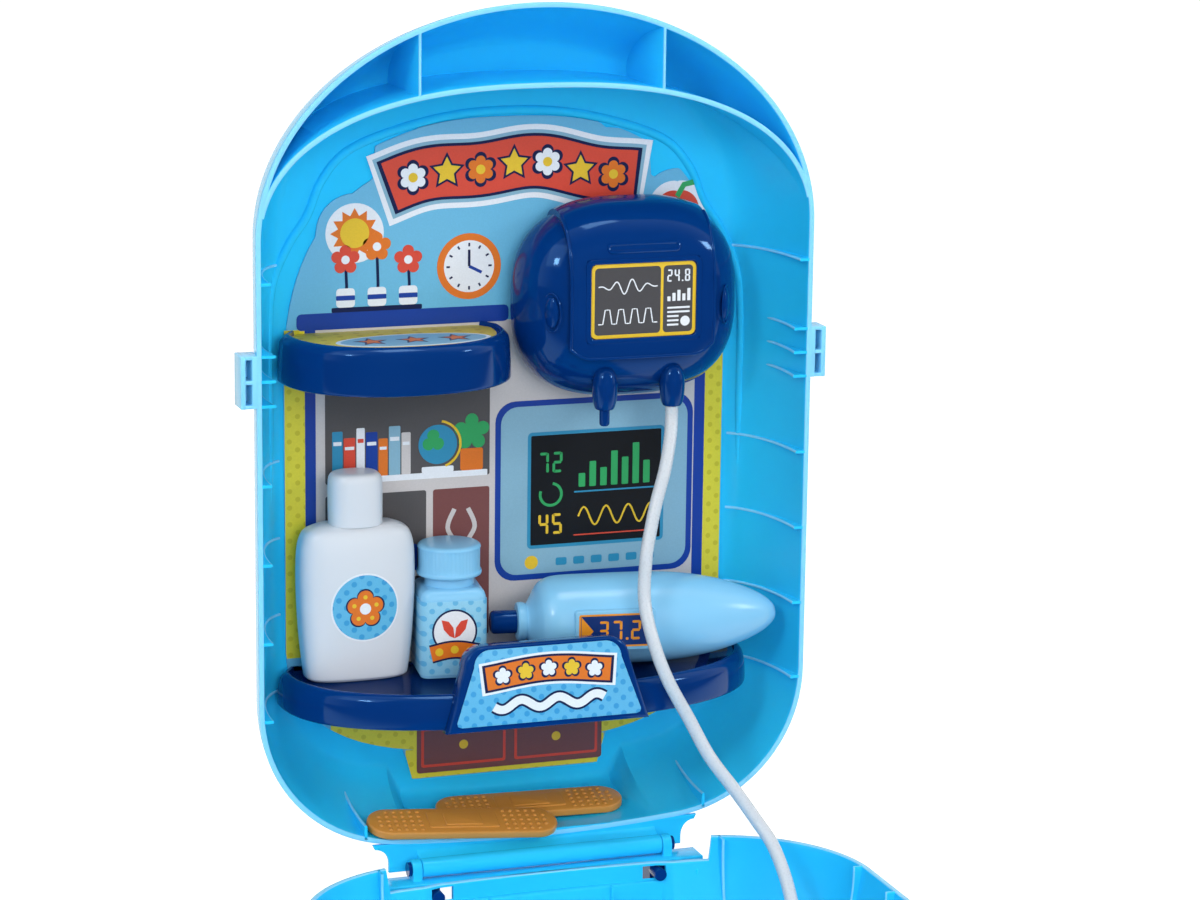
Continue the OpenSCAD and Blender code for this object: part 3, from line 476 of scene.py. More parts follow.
def half_ribs(place):
    """The webs that both halves share: five ribs and three gussets a side, and two fins at the hinge end."""
    made = []
    # Height, reach at the rim, depth at which the rib has run out, and what is left of it there
    rows = [(60.5 + i * rib_pitch, 4, 35, 0.7) for i in (0, 1, 2, 3, 5.5)]
    rows += [(catch_v + i * (catch_l - rib_t) / 2, 6, 34, -0.6) for i in (-1, 0, 1)]
    t = np.sin(np.linspace(0, 1.42, 26)) ** (1 / 0.95)
    for v, reach, long, least in rows:
        bottom = cols(case_w / 2 - inset(t) - wall, t * (half_d - wall))
        out = np.gradient(bottom, axis=0)
        out = cols(-out[:, 1], out[:, 0]) / np.linalg.norm(out, axis=1)[:, None]
        top = bottom + out * (least + (reach - least) * np.clip(1 - bottom[:, 1:] / long, 0, 1) ** 1.3)
        for s in (-1, 1):
            wall_line = cols(s * (bottom - out)[:, 0], v, (bottom - out)[:, 1])
            free = cols(s * top[:, 0], v, np.maximum(top[:, 1], 0.02))
            made.append(web(place(wall_line), place(free), place([0, rib_t, 0]) - place([0, 0, 0])))
    w = np.linspace(0, fin_l, 14)
    foot = corner_v - np.sqrt((corner_r - inset(w / half_d) - wall / 2) ** 2 - (fin_x - corner_x) ** 2)
    for s in (-1, 1):
        wall_line = cols(s * fin_x, foot, w)
        free = cols(s * fin_x, foot + wall / 2 + 5 * (1 - w / fin_l) + 0.1, w)
        made.append(web(place(wall_line), place(free), place([rib_t, 0, 0]) - place([0, 0, 0])))
    return made


def spow(v, e):
    """Signed power, for superellipses."""
    return np.sign(v) * np.abs(v) ** e


# The lid: the same moulding with an arch across its top that closes off a crescent, two ribs in the crescent,
# two catch pockets with windows, and a tab below that ends in the hinge barrel.
arch_v, arch_h, arch_n, crescent_x = 253.5, 66.0, 2.4, 52.0
lid_rings = half_place(half_rings(np.zeros(len(outline))))
rim_row = len(lid_rings) // 2
# The rows round the lid's rim get the paler copy: painted glow of light through the thin rim and of its highlight.
rim_faces = np.abs(np.arange(len(lid_rings) - 1) + 1 - rim_row) <= 2
lid_parts = [solid(lid_rings, np.append(np.repeat(rim_faces, len(outline)), [0, 0]).astype(int))]
lid_parts += half_ribs(half_place)
a = np.linspace(0.02, np.pi - 0.02, 361)
arch = cols(case_w / 2 * spow(np.cos(a), 2 / arch_n), arch_v + arch_h * np.sin(a) ** (2 / arch_n))
arch = arch[np.hypot(*(arch[:, None] - dense_rim[None]).transpose(2, 0, 1)).min(1) > 0.6]
lean = np.gradient(arch, axis=0)
lean = cols(lean[:, 1], -lean[:, 0]) / np.linalg.norm(lean, axis=1)[:, None]
# Round the arch's edge: how far off the curve, and how deep; where no depth is given it follows the floor.
arch_rings = []
for o, down in ((0, None), (0, 0.6), (0.15, 0.25), (0.5, 0.1), (1.7, 0.1), (2.05, 0.25), (2.2, 0.6), (2.2, None)):
    q = arch - o * lean
    floor_w = depth_at(q[:, 0], q[:, 1])
    arch_rings.append(cols(*q.T, np.maximum(floor_w, 0.65) if down is None else down))
# The arch's rounded edge gets the paler copy: painted glow.
lid_parts.append(solid(half_place(np.array(arch_rings).transpose(1, 0, 2)), banded(len(arch), 8, 1, 5)))
for s in (-1, 1):
    k = crescent_x / (case_w / 2)
    v = np.linspace(arch_v + arch_h * (1 - k ** arch_n) ** (1 / arch_n) - 0.6,
                    dome_v + dome_h * math.sqrt(1 - k ** 2) - 1, 16)
    x = np.full(16, s * crescent_x)
    lid_parts.append(web(half_place(cols(x, v, np.maximum(depth_at(x, v), 0.8))),
                         half_place(cols(x, v, 0)), (rib_t, 0, 0)))
    # The catch pocket: an outer and an inner plate, the two windows' bars between them, and its floor, all in the
    # paler copy with the painted glow
    lo, hi = catch_v - catch_l / 2, catch_v + catch_l / 2
    for x0, x1, v0, v1, w0, w1 in (
            (124.5, 126.5, lo, hi, 0, catch_d), (118.9, 121.8, lo, hi, 0.1, catch_d - 0.1),
            (121.2, 125.2, lo + 0.05, lo + 1.5, 0.1, catch_d - 0.1),
            (121.2, 125.2, catch_v - 0.75, catch_v + 0.75, 0.1, 10.9),
            (121.2, 125.2, hi - 1.5, hi - 0.05, 0.1, catch_d - 0.1), (121.2, 125.2, lo + 0.1, hi - 0.1, 9, 10.9)):
        lid_parts.append(block((min(s * x0, s * x1), v0, w0), (max(s * x0, s * x1), v1, w1), half_place, 0.3, 1))

# A low bead frames the card's place and dies out half way down both sides.
bead_left = np.array([[-104.5, 112], [-104.5, 140], [-104.5, 175], [-104.5, 212], [-102.5, 233], [-95, 250],
                      [-87, 262], [-81, 276], [-70, 288], [-50, 296], [-25, 301.5]])
bead = curve_through(np.vstack([bead_left, [[0, 303]], bead_left[::-1] * (-1, 1)]), 8)
bead_r = 1.9 * np.clip(np.minimum(np.arange(len(bead)), np.arange(len(bead))[::-1]) / 16, 0.1, 1)
bead_w = depth_at(bead[:, 0], bead[:, 1]) - wall / 2 + 0.2
lid_parts.append(solid(hose(half_place(cols(*bead.T, bead_w)), bead_r, 12, (0, 1, 0))))

# The hinge tab stands in the rim plane with hollow sides, and the barrel below it fits between the base's ears.
hinge_x, axis_y, axis_v, barrel_r = 53.0, -6.0, -6.5, 4.0
fillet = np.radians(np.linspace(0, 90, 8))
tab_side = cols(71 - 6 * np.cos(fillet), -5.5 + 6.5 * np.sin(fillet))
tab_right = np.vstack([[[65, -9.5], [65, -5.5]], tab_side, [[72, 3]]])
lid_parts.append(pad(np.vstack([tab_right, tab_right[::-1] * (-1, 1)]), 0.15, 2.3, 0.3, 0.3, half_place))
a = np.radians(np.linspace(250, 62, 24))
barrel = np.vstack([[[2.05, 0.8], [2.05, -9.6]], [[-3.5, -10.2]],
                    cols(axis_y + barrel_r * np.cos(a), axis_v + barrel_r * np.sin(a)),
                    [[-2.6, -2.4], [-1.2, -1.9], [-0.3, -1.2], [0.4, -0.2], [0.9, 0.8]]])[::-1]


def along_x(p):
    """A section drawn as (in, up) and carried along X in the lid's frame."""
    return lid_place(p[..., [2, 0, 1]])


lid_parts.append(pad(barrel, -hinge_x, hinge_x, 0.3, 0.3, along_x))
build("lid_shell_moulding", lid_parts, [polypropylene, painted_glow_edge], "lid", ["lid_shell"])


# The base: the same moulding laid on its back, with a notch for the hinge barrel and two slots in its rear wall.
# A flange, two ears, a stiffening panel with ribs and two catch blocks with snap tongues are moulded on.
def base_place(p):
    """From a half's frame to the base lying on the floor."""
    p = np.asarray(p, float)
    return cols(p[..., 0], case_h / 2 - p[..., 1], half_d - p[..., 2])


def plain(p):
    """For blocks that are drawn in the part's own frame."""
    return p


notch_z, flange_y, slot_x, slot_w, slot_low, slot_high = 37.5, 186.5, 47, 10, 29.7, 35.6
cut = ((np.abs(outline[:, 0]) < notch + 0.004) & (outline[:, 1] < 60)) * (half_d - notch_z) / half_d
base_rings = half_rings(cut)
points, faces, _ = solid(base_place(base_rings))
count, columns = base_rings.shape[:2]
faces = np.array(faces[:-2])
spot = points[faces].mean(1)
# The faces inside the two slots go, and the inner and outer border of each hole are joined by a wall.
slot_hole = (np.abs(np.abs(spot[:, 0]) - slot_x) < slot_w / 2) & (spot[:, 1] > 150)
slot_hole &= (spot[:, 2] > slot_low) & (spot[:, 2] < slot_high)
slot_hole = slot_hole.reshape(count - 1, columns)
slot_hole[:count // 2 - 1] = slot_hole[::-1][:count // 2 - 1]
slot_hole = slot_hole.ravel()
kept = faces[~slot_hole].tolist()
# The rows round the base's rim get the paler copy with the painted glow, as on the lid.
pale = rim_faces[faces[~slot_hole].min(1) // columns].astype(int)
edges = np.sort(faces[slot_hole][:, [[0, 1], [1, 2], [2, 3], [3, 0]]].reshape(-1, 2), axis=1)
unique, times = np.unique(edges, axis=0, return_counts=True)
border = unique[times == 1]
inner = border[(border < columns * count // 2).all(1)]
mirror_row = lambda k: (count - 1 - k // columns) * columns + k % columns
kept += np.column_stack([inner, mirror_row(inner[:, 1]), mirror_row(inner[:, 0])]).tolist()
kept += [list(range(columns)), list(range((count - 1) * columns, count * columns))]
base_parts = [(points, kept, np.append(pale, np.zeros(len(kept) - len(pale))))] + half_ribs(base_place)
# The flange, the stiffening panel and its four ribs, the two ears, and at the sides the catch blocks and tongues
base_parts.append(block((-70, 174.4, 35.3), (70, flange_y, notch_z), plain, 0.4))
base_parts.append(block((-84, 170.2, 1.1), (84, 174.6, 29.8), plain, 0.8))
for x in (-65, -27, 27, 65):
    rib_top = 33.8 if abs(x) > 50 else 29.8
    base_parts.append(block((x - 0.6, 167.8, 1.1), (x + 0.6, 171.5, rib_top), plain, 0.4))
a = np.radians(np.linspace(0, 180, 20))
ear_y, ear_z = 182.5, 41.8
ear = np.vstack([cols(ear_y + barrel_r * np.cos(a), ear_z + barrel_r * np.sin(a)),
                 [[ear_y - barrel_r, 36.5], [ear_y + barrel_r, 36.5]]])
for s in (-1, 1):
    x0, x1 = sorted((s * 53.4, s * 57.4))
    base_parts.append(pad(ear, x0, x1, 0.3, 0.3, lambda p: p[..., [2, 0, 1]]))
    x0, x1 = sorted((s * 118.9, s * 123.8))
    base_parts.append(block((x0, catch_v - catch_l / 2, 0.0), (x1, catch_v + catch_l / 2, 9), base_place, 0.4))
    x0, x1 = sorted((s * 122.5, s * 123.8))
    for v in (catch_v - 5, catch_v + 5):
        base_parts.append(block((x0, v - tongue_l / 2, -6.5), (x1, v + tongue_l / 2, 3), base_place, 0.4))
build("base_shell_moulding", base_parts, [polypropylene, painted_glow_edge], "base", ["base_shell"])


# The feet behind the base and the two hinge pins: small glossy dark blue ABS mouldings. The feet are pushed in
# through the slots in the base's rear wall, and the pins from outside through its ears into the lid's barrel.
def refinish(names, material, ease=0.0):
    """Gives a node of the frame its real finish, and eases its edges with a weld and a bevel."""
    for name in names:
        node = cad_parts[name]
        for holder in node.material_slots:
            holder.material = material
        if ease:
            node.modifiers.new("weld", "WELD").merge_threshold = 1e-6
            ease_edges(node, ease, 3)


refinish(["stand_foot_left", "stand_foot_right", "hinge_pin_left", "hinge_pin_right"], navy, 0.5)


# The screws from behind, which hold the shelves and the monitor: small cold-headed steel screws.
# Bright zinc plating gives them a grey mirror, broken up by fine drag marks.
zinc, t, place = blank("bright_zinc_plated_steel")
drag = add(t, "ShaderNodeTexNoise", {"Vector": place, "Scale": 2500.0, "Detail": 2.0})
drag_gloss = add(t, "ShaderNodeMapRange", {"Value": drag, "To Min": 0.22, "To Max": 0.4})
drag_bump = add(t, "ShaderNodeBump", {"Height": drag, "Strength": 0.1, "Distance": 0.0001})
steel = add(t, "ShaderNodeBsdfPrincipled", {"Base Color": hexcol("#C9CCD0"), "Metallic": 1.0,
                                            "Roughness": drag_gloss, "Normal": drag_bump})
add(t, "ShaderNodeOutputMaterial", {"Surface": steel})
refinish(["fixing_screws"], zinc, 0.3)


# The printed card on the back of the lid: coated board, offset printed, in flat inks laid one on another.
# Its picture is a generic one: a ribbon with stars, a clock, a vase, book shelves, a chart screen and a chest.
card_y, card_hw, ink_speckle = 44.5, 97.5, 0.07


def ink(name, colour, dots=None, pitch=5.0, size=1.1, plane=(1, 0, 1)):
    """Offset ink on coated board or gloss vinyl: the colour with a slightly darker half-tone speckle of 0.7 mm,
    coarser than the real one so that it shows, under a coating whose fibres of 1.4 mm just show in its gloss. With
    dots, also rows of small dots in that colour: cells on a regular lattice of pitch mm, filled to size mm, in the
    plane of the two axes that are 1 in plane."""
    made, t, place = blank(name)
    speck = add(t, "ShaderNodeTexVoronoi", {"Vector": place, "Scale": 1400.0})
    c = hexcol(colour)
    dark = tuple(v * (1 - ink_speckle) for v in c[:3]) + (1.0,)
    tint = add(t, "ShaderNodeMix", {0: speck, 6: dark, 7: c}, data_type="RGBA")
    if dots:
        turn = add(t, "ShaderNodeMapping", {"Vector": place, "Rotation": (0, 0.785, 0), "Scale": plane})
        cells = add(t, "ShaderNodeTexVoronoi", {"Vector": turn, "Scale": 1000 / pitch, "Randomness": 0.0})
        inside = add(t, "ShaderNodeMath", {0: cells.outputs["Distance"], 1: size / pitch}, operation="LESS_THAN")
        tint = add(t, "ShaderNodeMix", {0: inside, 6: tint.outputs[2], 7: hexcol(dots)}, data_type="RGBA")
    fibre = add(t, "ShaderNodeTexNoise", {"Vector": place, "Scale": 700.0, "Detail": 2.0})
    gloss = add(t, "ShaderNodeMapRange", {"Value": fibre, "To Min": 0.3, "To Max": 0.42})
    relief = add(t, "ShaderNodeBump", {"Height": fibre, "Strength": 0.03, "Distance": 0.0001})
    face = add(t, "ShaderNodeBsdfPrincipled", {"Base Color": tint.outputs[2], "Roughness": gloss,
                                               "Normal": relief, "IOR": 1.48})
    add(t, "ShaderNodeOutputMaterial", {"Surface": face})
    return made


inks = {name: ink("printed_ink_" + look, *colours) for name, look, *colours in (
    ("sky", "sky_blue", "#67B8DC"), ("yellow", "yellow_dotted", "#E6D83A", "#CFC02A"),
    ("blue", "royal_blue", "#0B3D9E"), ("lilac", "lilac", "#CEC9C8"), ("white", "white", "#E9EEF4"),
    ("grey", "warm_grey", "#575455"), ("brown", "bench_brown", "#7C4A48"), ("orange", "orange", "#E4761E"),
    ("red", "red", "#DC4A36"), ("pale", "pale_blue", "#88B6CC"), ("black", "screen_black", "#141418"),
    ("green", "green", "#2FA860"), ("dark", "outline_navy", "#0C1C4C"), ("teal", "teal", "#2C8FB8"),
    ("gold", "golden_yellow", "#E9C22E"))}


def on_card(p):
    """Places (x, height, out) on the card's face."""
    return lid_place(cols(p[..., 0], card_y - p[..., 2], p[..., 1]))


def disc(cx, cy, rx, ry=None, n=40, start=0.0, stop=360.0):
    """An ellipse, or a part of one between two angles."""
    a = np.radians(np.linspace(start, stop, n, endpoint=stop - start < 360))
    return cols(cx + rx * np.cos(a), cy + (ry or rx) * np.sin(a))


def star(cx, cy, r, points=5, inner=0.45):
    """A star, one point up: its radius goes from r to inner times r and back at each point."""
    a = np.radians(90 + np.arange(2 * points) * 180 / points)
    k = np.where(np.arange(2 * points) % 2, inner * r, r)
    return cols(cx + k * np.cos(a), cy + k * np.sin(a))


def petals(cx, cy, r, count=5, depth=0.28, turn=90.0):
    """A flower: the radius swells and shrinks by depth, count times round."""
    a = np.linspace(0, 2 * np.pi, 120, endpoint=False)
    k = r * (1 - depth + depth * np.abs(np.cos(count * (a - math.radians(turn)) / 2)) ** 0.7)
    return cols(cx + k * np.cos(a), cy + k * np.sin(a))


def stroke(line, width):
    """A drawn line of the given width: the path moved half the width to either side, with mitred bends."""
    p = np.asarray(line, float)
    d = np.gradient(p, axis=0)
    d /= np.linalg.norm(d, axis=1)[:, None] + 1e-9
    n = cols(-d[:, 1], d[:, 0]) * width / 2
    return np.vstack([p - n, (p + n)[::-1]])


def digits(text, x, y, h, w=None):
    """Plain seven-segment figures of height h from the left end x and the foot y."""
    w = w or h * 0.5
    k, g = h * 0.13, h * 0.03
    bars = {"a": (k * 0.5, h - k, w - k * 0.5, h), "d": (k * 0.5, 0, w - k * 0.5, k),
            "g": (k * 0.5, h / 2 - k / 2, w - k * 0.5, h / 2 + k / 2),
            "b": (w - k, h / 2 + g, w, h - g), "c": (w - k, g, w, h / 2 - g),
            "f": (0, h / 2 + g, k, h - g), "e": (0, g, k, h / 2 - g)}
    lit = {"0": "abcdef", "1": "bc", "2": "abged", "3": "abgcd", "4": "fgbc", "5": "afgcd", "6": "afgedc",
           "7": "abc", "8": "abcdefg", "9": "abcdfg"}
    made = []
    for c in text:
        if c == ".":
            made.append(box_outline(x, x + k, y, y + k, k * 0.2, 2))
            x += k * 2
            continue
        for s in lit.get(c, ""):
            x0, y0, x1, y1 = bars[s]
            made.append(box_outline(x + x0, x + x1, y + y0, y + y1, k * 0.3, 2))
        x += w + k * 1.4
    return made


ribbon_line = lambda x: 272 + 8.5 * np.cos((x - 2) / 54 * 1.45) + 1.2 * np.sin(x / 8)
lobe = lambda x, cx, cy, r: cy + np.sqrt(np.maximum(r * r - (x - cx) ** 2, 0))
# The card's foot and top are superellipses as wide as the card.
card_low = lambda x: 85.5 - 58.5 * np.maximum(0, 1 - np.abs(x / card_hw) ** 2.8) ** (1 / 2.8)
card_high = lambda x: 201.5 + 99 * np.maximum(0, 1 - np.abs(x / card_hw) ** 2.6) ** (1 / 2.6)
card_parts = []


def card_top(x):
    """The card's top edge: it follows the ribbon, the sun and the apple in lobes, 4 mm outside them."""
    lobes = np.where(np.abs(x - 2) < 61, ribbon_line(x) + 19.5, 0)
    lobes = np.maximum(lobes, np.where(np.abs(x + 67) < 16.5, lobe(x, -67, 254, 16.5), 0))
    lobes = np.maximum(lobes, np.where(np.abs(x - 75) < 17, lobe(x, 75, 259, 17), 0))
    return np.minimum(card_high(x), np.maximum(lobes, card_high(x) - 13 * np.clip((np.abs(x) - 40) / 20, 0, 1)))


def printer(parts, names, place, foot, top, step=0.06):
    """Prints on one place: gives a function that adds a flat of the named ink to parts. Its top is higher by step mm
    with each level, so that later flats lie on earlier ones."""
    return lambda name, shape, level: parts.append(
        pad(np.asarray(shape, float), foot, top + step * level, 0, 0, place, names.index(name)))


print_card = printer(card_parts, list(inks), on_card, 0.0, 0.04)


def panel(colour, level, *box):
    """A rectangle of ink with round corners: x0, x1, y0, y1, the radius and the steps to a corner."""
    print_card(colour, box_outline(*box), level)


def stripe(colour, x0, x1, low, high, level):
    """An upright stripe that follows the card's curved foot where that is higher than low."""
    x = np.linspace(x0, x1, 24)
    foot = np.maximum(card_low(x) + 0.05, low)
    print_card(colour, np.vstack([cols(x, foot), cols(x, high)[::-1]]), level)


a = np.linspace(0, np.pi, 240)
x = card_hw * np.cos(a)
low_line = cols(-x, card_low(x))
keep = np.abs(low_line[:, 0]) > 45.6
card_tab = [[-45.5, 27.5], [-40.5, 15.6], [40.5, 15.6], [45.5, 27.5]]
card_shape = np.vstack([low_line[keep & (low_line[:, 0] < 0)], card_tab, low_line[keep & (low_line[:, 0] > 0)],
                        cols(x, card_top(x))])
card_parts.append(pad(card_shape, -0.75, 0.0, 0, 0.05, on_card, 0))
for colour, x0, x1, low, high in (
        ("yellow", -97.3, -88.6, 74, 214.5), ("blue", -88.6, -84, 66, 214.5), ("lilac", -84, 84.5, 56, 214.5),
        ("blue", 84.5, 89.3, 66, 214.5), ("yellow", 89.3, 97.2, 74, 214.5), ("yellow", -78, 78, 20, 56.5)):
    stripe(colour, x0, x1, low, high, 1)
print_card("yellow", [[-42, 16], [42, 16], [45, 27], [45, 29], [-45, 29], [-45, 27]], 1)
panel("blue", 2, -92, 0, 214, 221, 2)
# Chest of drawers below the lower shelf
panel("brown", 2, -40, 44, 18, 41, 1.5)
for x in (-38, 4):
    panel("red", 3, x, x + 38, 20.5, 38, 1)
    panel("brown", 4, x + 1.2, x + 36.8, 21.7, 36.8, 0.6)
    print_card("gold", disc(x + 19, 29.5, 2), 5)
# Book shelves on a grey wall at the left
panel("grey", 2, -80, -8, 148, 191, 1)
panel("grey", 2, -80, -36, 78, 143, 1)
panel("brown", 2, -33, -8, 78, 143, 1)
for y in (150.5, 108.5, 84):
    panel("white", 3, -79, -9 if y > 148 else -37, y - 2.6, y, 0.3)
x, board = -77.0, 150.5
for colour, w, h in (("teal", 4.5, 20), ("red", 5, 17), ("white", 3.6, 21), ("blue", 5, 19), ("orange", 4, 16),
                     ("pale", 5, 21), ("lilac", 4, 18)):
    band = "red" if colour == "white" else "white"
    panel(colour, 4, x, x + w, board, board + h, 0.5)
    panel(band, 5, x + 0.5, x + w - 0.5, board + h * 0.7, board + h * 0.78, 0.1, 2)
    x += w + 0.5
panel("white", 4, -38, -24, 150.5, 153, 0.5)
print_card("teal", disc(-31, 162.5, 8.5), 5)
print_card("green", petals(-33, 164, 5, 3, 0.5), 6)
print_card("gold", stroke(disc(-31, 162.5, 10, 10, 24, -70, 80), 1.0), 6)
panel("orange", 4, -21, -11, 150.5, 160, 1)
print_card("green", petals(-16, 167, 8, 5, 0.45), 5)
for i, colour in enumerate(("white", "pale", "orange")):
    panel(colour, 4, -77, -62, 108.5 + i * 4.8, 113 + i * 4.8, 1.4)
panel("blue", 4, -58, -40, 108.5, 120, 1)
print_card("gold", star(-49, 114, 3.6), 5)
panel("red", 4, -76, -60, 84, 98, 1)
print_card("white", disc(-68, 91, 4), 5)
# A tall vase with curling leaves before the brown wall
print_card("lilac", np.vstack([disc(-20.5, 84, 5, 5, 12, 180, 360), [[-17, 108], [-24, 108]]]), 4)
for k in (-1, 1):
    leaf = curve_through([[-20.5, 107], [-20.5 + 2 * k, 118], [-20.5 + 6 * k, 126], [-20.5 + 3 * k, 134]], 6)
    print_card("lilac", stroke(leaf, 2.0), 3)
# The chart screen: a pale blue case with a black face, bars, a ring and plain figures
panel("blue", 2, -5.5, 84, 100.5, 179, 9, 8)
panel("pale", 3, -3, 81.5, 103, 176.5, 7.5, 8)
panel("teal", 4, 9, 71, 114, 165, 2, 5)
panel("black", 5, 10.5, 69.5, 115.5, 163.5, 0.6)
for i, h in enumerate((6, 11, 8, 15, 12, 18, 10)):
    panel("green", 6, 32 + i * 4.9, 35 + i * 4.9, 140, 140 + h, 0.4)
panel("teal", 6, 30, 67, 137.6, 138.3, 0.2)
wave_x = np.linspace(32, 66, 70)
print_card("gold", stroke(cols(wave_x, 127 + 4 * np.sin((wave_x - 32) * 0.62)), 0.8), 6)
panel("red", 6, 30, 67, 118.6, 119.2, 0.2)
for shape in digits("72", 14, 147, 9):
    print_card("green", shape, 6)
for shape in digits("45", 14, 120, 9):
    print_card("gold", shape, 6)
print_card("green", stroke(disc(19.5, 137.5, 4.8, 4.8, 30, -200, 80), 1.2), 6)
for i in range(6):
    panel("teal", 4, 22 + i * 8, 27 + i * 8, 106, 109.4, 0.8)
print_card("gold", disc(11, 108, 3), 4)
# The ribbon at the top, with stars: white, blue and navy edges round a red band
for colour, wide, level, grow in (("white", 31, 1, 5), ("pale", 26.5, 2, 3), ("dark", 23.5, 3, 1.6),
                                  ("red", 21, 4, 0)):
    line_x = np.linspace(-52 - grow, 56 + grow, 60)
    print_card(colour, stroke(cols(line_x, ribbon_line(line_x)), wide), level)
for i, cx in enumerate(np.linspace(-42, 46, 7)):
    cy = float(ribbon_line(cx))
    if i % 2:
        print_card("dark", star(cx, cy, 8.2, 5, 0.5), 5)
        print_card("gold", star(cx, cy, 6.2, 5, 0.5), 6)
    else:
        print_card("dark", petals(cx, cy, 7.4, 6, 0.3), 5)
        print_card("orange" if i % 4 else "white", petals(cx, cy, 5.8, 6, 0.3), 6)
        print_card("gold", disc(cx, cy, 2), 7)
# A sun at the left and an apple at the right of it
print_card("white", disc(-67, 254, 12.5), 1)
print_card("orange", star(-67, 254, 10.5, 12, 0.7), 2)
print_card("gold", disc(-67, 254, 6.2), 3)
print_card("white", petals(75, 259, 13, 2, 0.12, turn=0), 1)
print_card("red", petals(75, 258, 10, 2, 0.18, turn=0), 2)
print_card("green", stroke([[75, 264], [78, 269], [83, 270]], 2.4), 3)
# Flowers in a vase and a wall clock over the blue line
panel("dark", 2, -77, -38, 221, 223, 0.5)
for cx, top, colour in ((-71, 243, "red"), (-57.5, 248, "orange"), (-44, 242, "red")):
    print_card("dark", stroke([[cx, 223], [cx + 0.5, 232], [cx, top]], 1.2), 2)
    print_card(colour, petals(cx, top, 6.2, 5, 0.35), 3)
    print_card("white", disc(cx, top, 1.8), 4)
    panel("white", 3, cx - 4, cx + 4, 223, 231, 1.5)
    panel("blue", 4, cx - 4, cx + 4, 226, 228, 0.3)
print_card("orange", disc(-17.5, 238, 14), 2)
print_card("white", disc(-17.5, 238, 11), 3)
clock = np.array([-17.5, 238])
for q in range(12):
    d = np.array([math.cos(q * math.pi / 6), math.sin(q * math.pi / 6)])
    print_card("dark", stroke([clock + 8.4 * d, clock + 9 * d, clock + 9.9 * d], 0.8), 4)
print_card("dark", stroke([[-17.5, 238], [-17.5, 241], [-17.5, 245]], 1.1), 4)
print_card("blue", stroke([[-17.5, 238], [-14.5, 236.5], [-12, 235.2]], 1.3), 4)
build("backing_card_print", card_parts, list(inks.values()), "lid", ["backing_card"], crease=30)


# The two shelves: D-shaped trays in glossy dark blue ABS, injection-moulded in one piece each with a raised rim and
# a deep rounded skirt, open below. They are screwed on from behind, through the card.
lower_v, lower_h, lower_hw, lower_d, lower_n = 70.5, 14.5, 103.0, 66.0, 2.45
upper_v, upper_h, upper_hw, upper_x, upper_d, upper_n = 214.5, 20.0, 49.0, -53.0, 51.5, 2.3
tray_d, straight = 2.0, 7


def shelf_plan(cx, hw, d, n, k):
    """Plan of a shelf drawn in by k: straight along the card, then a superellipse towards the child."""
    a = np.linspace(0, np.pi, 120)
    bow = cols(cx - (hw - k) * spow(np.cos(a), 2 / n),
                    card_y - straight - (d - straight - k) * spow(np.sin(a), 2 / n))
    return np.vstack([[[cx - hw + k + 4, card_y]], bow, [[cx + hw - k - 4, card_y]]])


def shelf(cx, hw, d, n, top, h):
    """Rings from the underside, down inside the skirt, up its bulging outside, over the rim and into the tray."""
    inside = [(3.4, top - 4.4), (3.2, top - 5), (3.1, top - h + 0.6), (2.8, top - h + 0.15), (2.3, top - h)]
    outside = curve_through([[1.0, top - h], [0.25, top - h + 0.5], [0.0, top - h + 2], [0.2, top - h * 0.55],
                             [0.75, top - 4], [1.5, top - 1.9], [2.9, top - 0.5], [4.0, top]], 4)
    tray = [(4.5, top - 0.05), (4.9, top - 0.4), (5.0, top - tray_d + 0.3), (5.3, top - tray_d)]
    rows = np.vstack([inside, outside, tray])
    return solid(lid_place(np.array([cols(*shelf_plan(cx, hw, d, n, k).T, z) for k, z in rows])))


build("upper_shelf_tray", [shelf(upper_x, upper_hw, upper_d, upper_n, upper_v, upper_h)], [navy], "lid",
      ["upper_shelf"], crease=50)


# The upper shelf's sticker: gloss vinyl print, laid in the tray. It is dotted yellow, with a pale blue oval and
# three orange stars.
def on_tray(p):
    """Places (across, in, up) on the upper tray's floor."""
    return lid_place(p + (0, 0, upper_v - tray_d))


def anticlockwise(shape):
    """The outline turned round if it runs clockwise, by the sign of its area."""
    x, y = shape[:, 0], shape[:, 1]
    return shape if (x * np.roll(y, -1) - y * np.roll(x, -1)).sum() > 0 else shape[::-1]


# The film lies flat in the tray, so its rows of dots do too, and its gloss catches the sky.
yellow_vinyl = ink("printed_ink_yellow_vinyl_dotted", "#E2C431", "#C9A61C", 6.0, 1.4, (1, 1, 0))
oval_x, oval_y = upper_x + 4, 19
tray_inks = ["white", "pale", "dark", "orange"]
tray_flats = [("white", disc(oval_x, oval_y, 33, 13, 60), 0.47), ("pale", disc(oval_x, oval_y, 31, 11.6, 60), 0.52)]
for x in (oval_x - 18, oval_x, oval_x + 18):
    tray_flats += [("dark", star(x, oval_y, 7.5), 0.58), ("orange", star(x, oval_y, 5.2), 0.64)]
vinyl_shape = anticlockwise(shelf_plan(upper_x, upper_hw, upper_d, upper_n, 6))
shelf_print = [pad(vinyl_shape, 0, 0.4, 0, 0.1, on_tray)]
shelf_print += [pad(shape, 0.3, top, 0, 0, on_tray, 1 + tray_inks.index(name)) for name, shape, top in tray_flats]
build("upper_shelf_sticker_print", shelf_print, [yellow_vinyl] + [inks[name] for name in tray_inks], "lid",
      ["upper_shelf_sticker"])

# The lower shelf carries a sign at its front: a thick dark blue plate with flared sides and round shoulders.
# It is moulded on and leans back by seven degrees.
sign_w, sign_h, sign_x, sign_t, sign_lean = 88.0, 35.5, -3.0, 9.0, math.radians(7)
sign_y = card_y - lower_d - 3


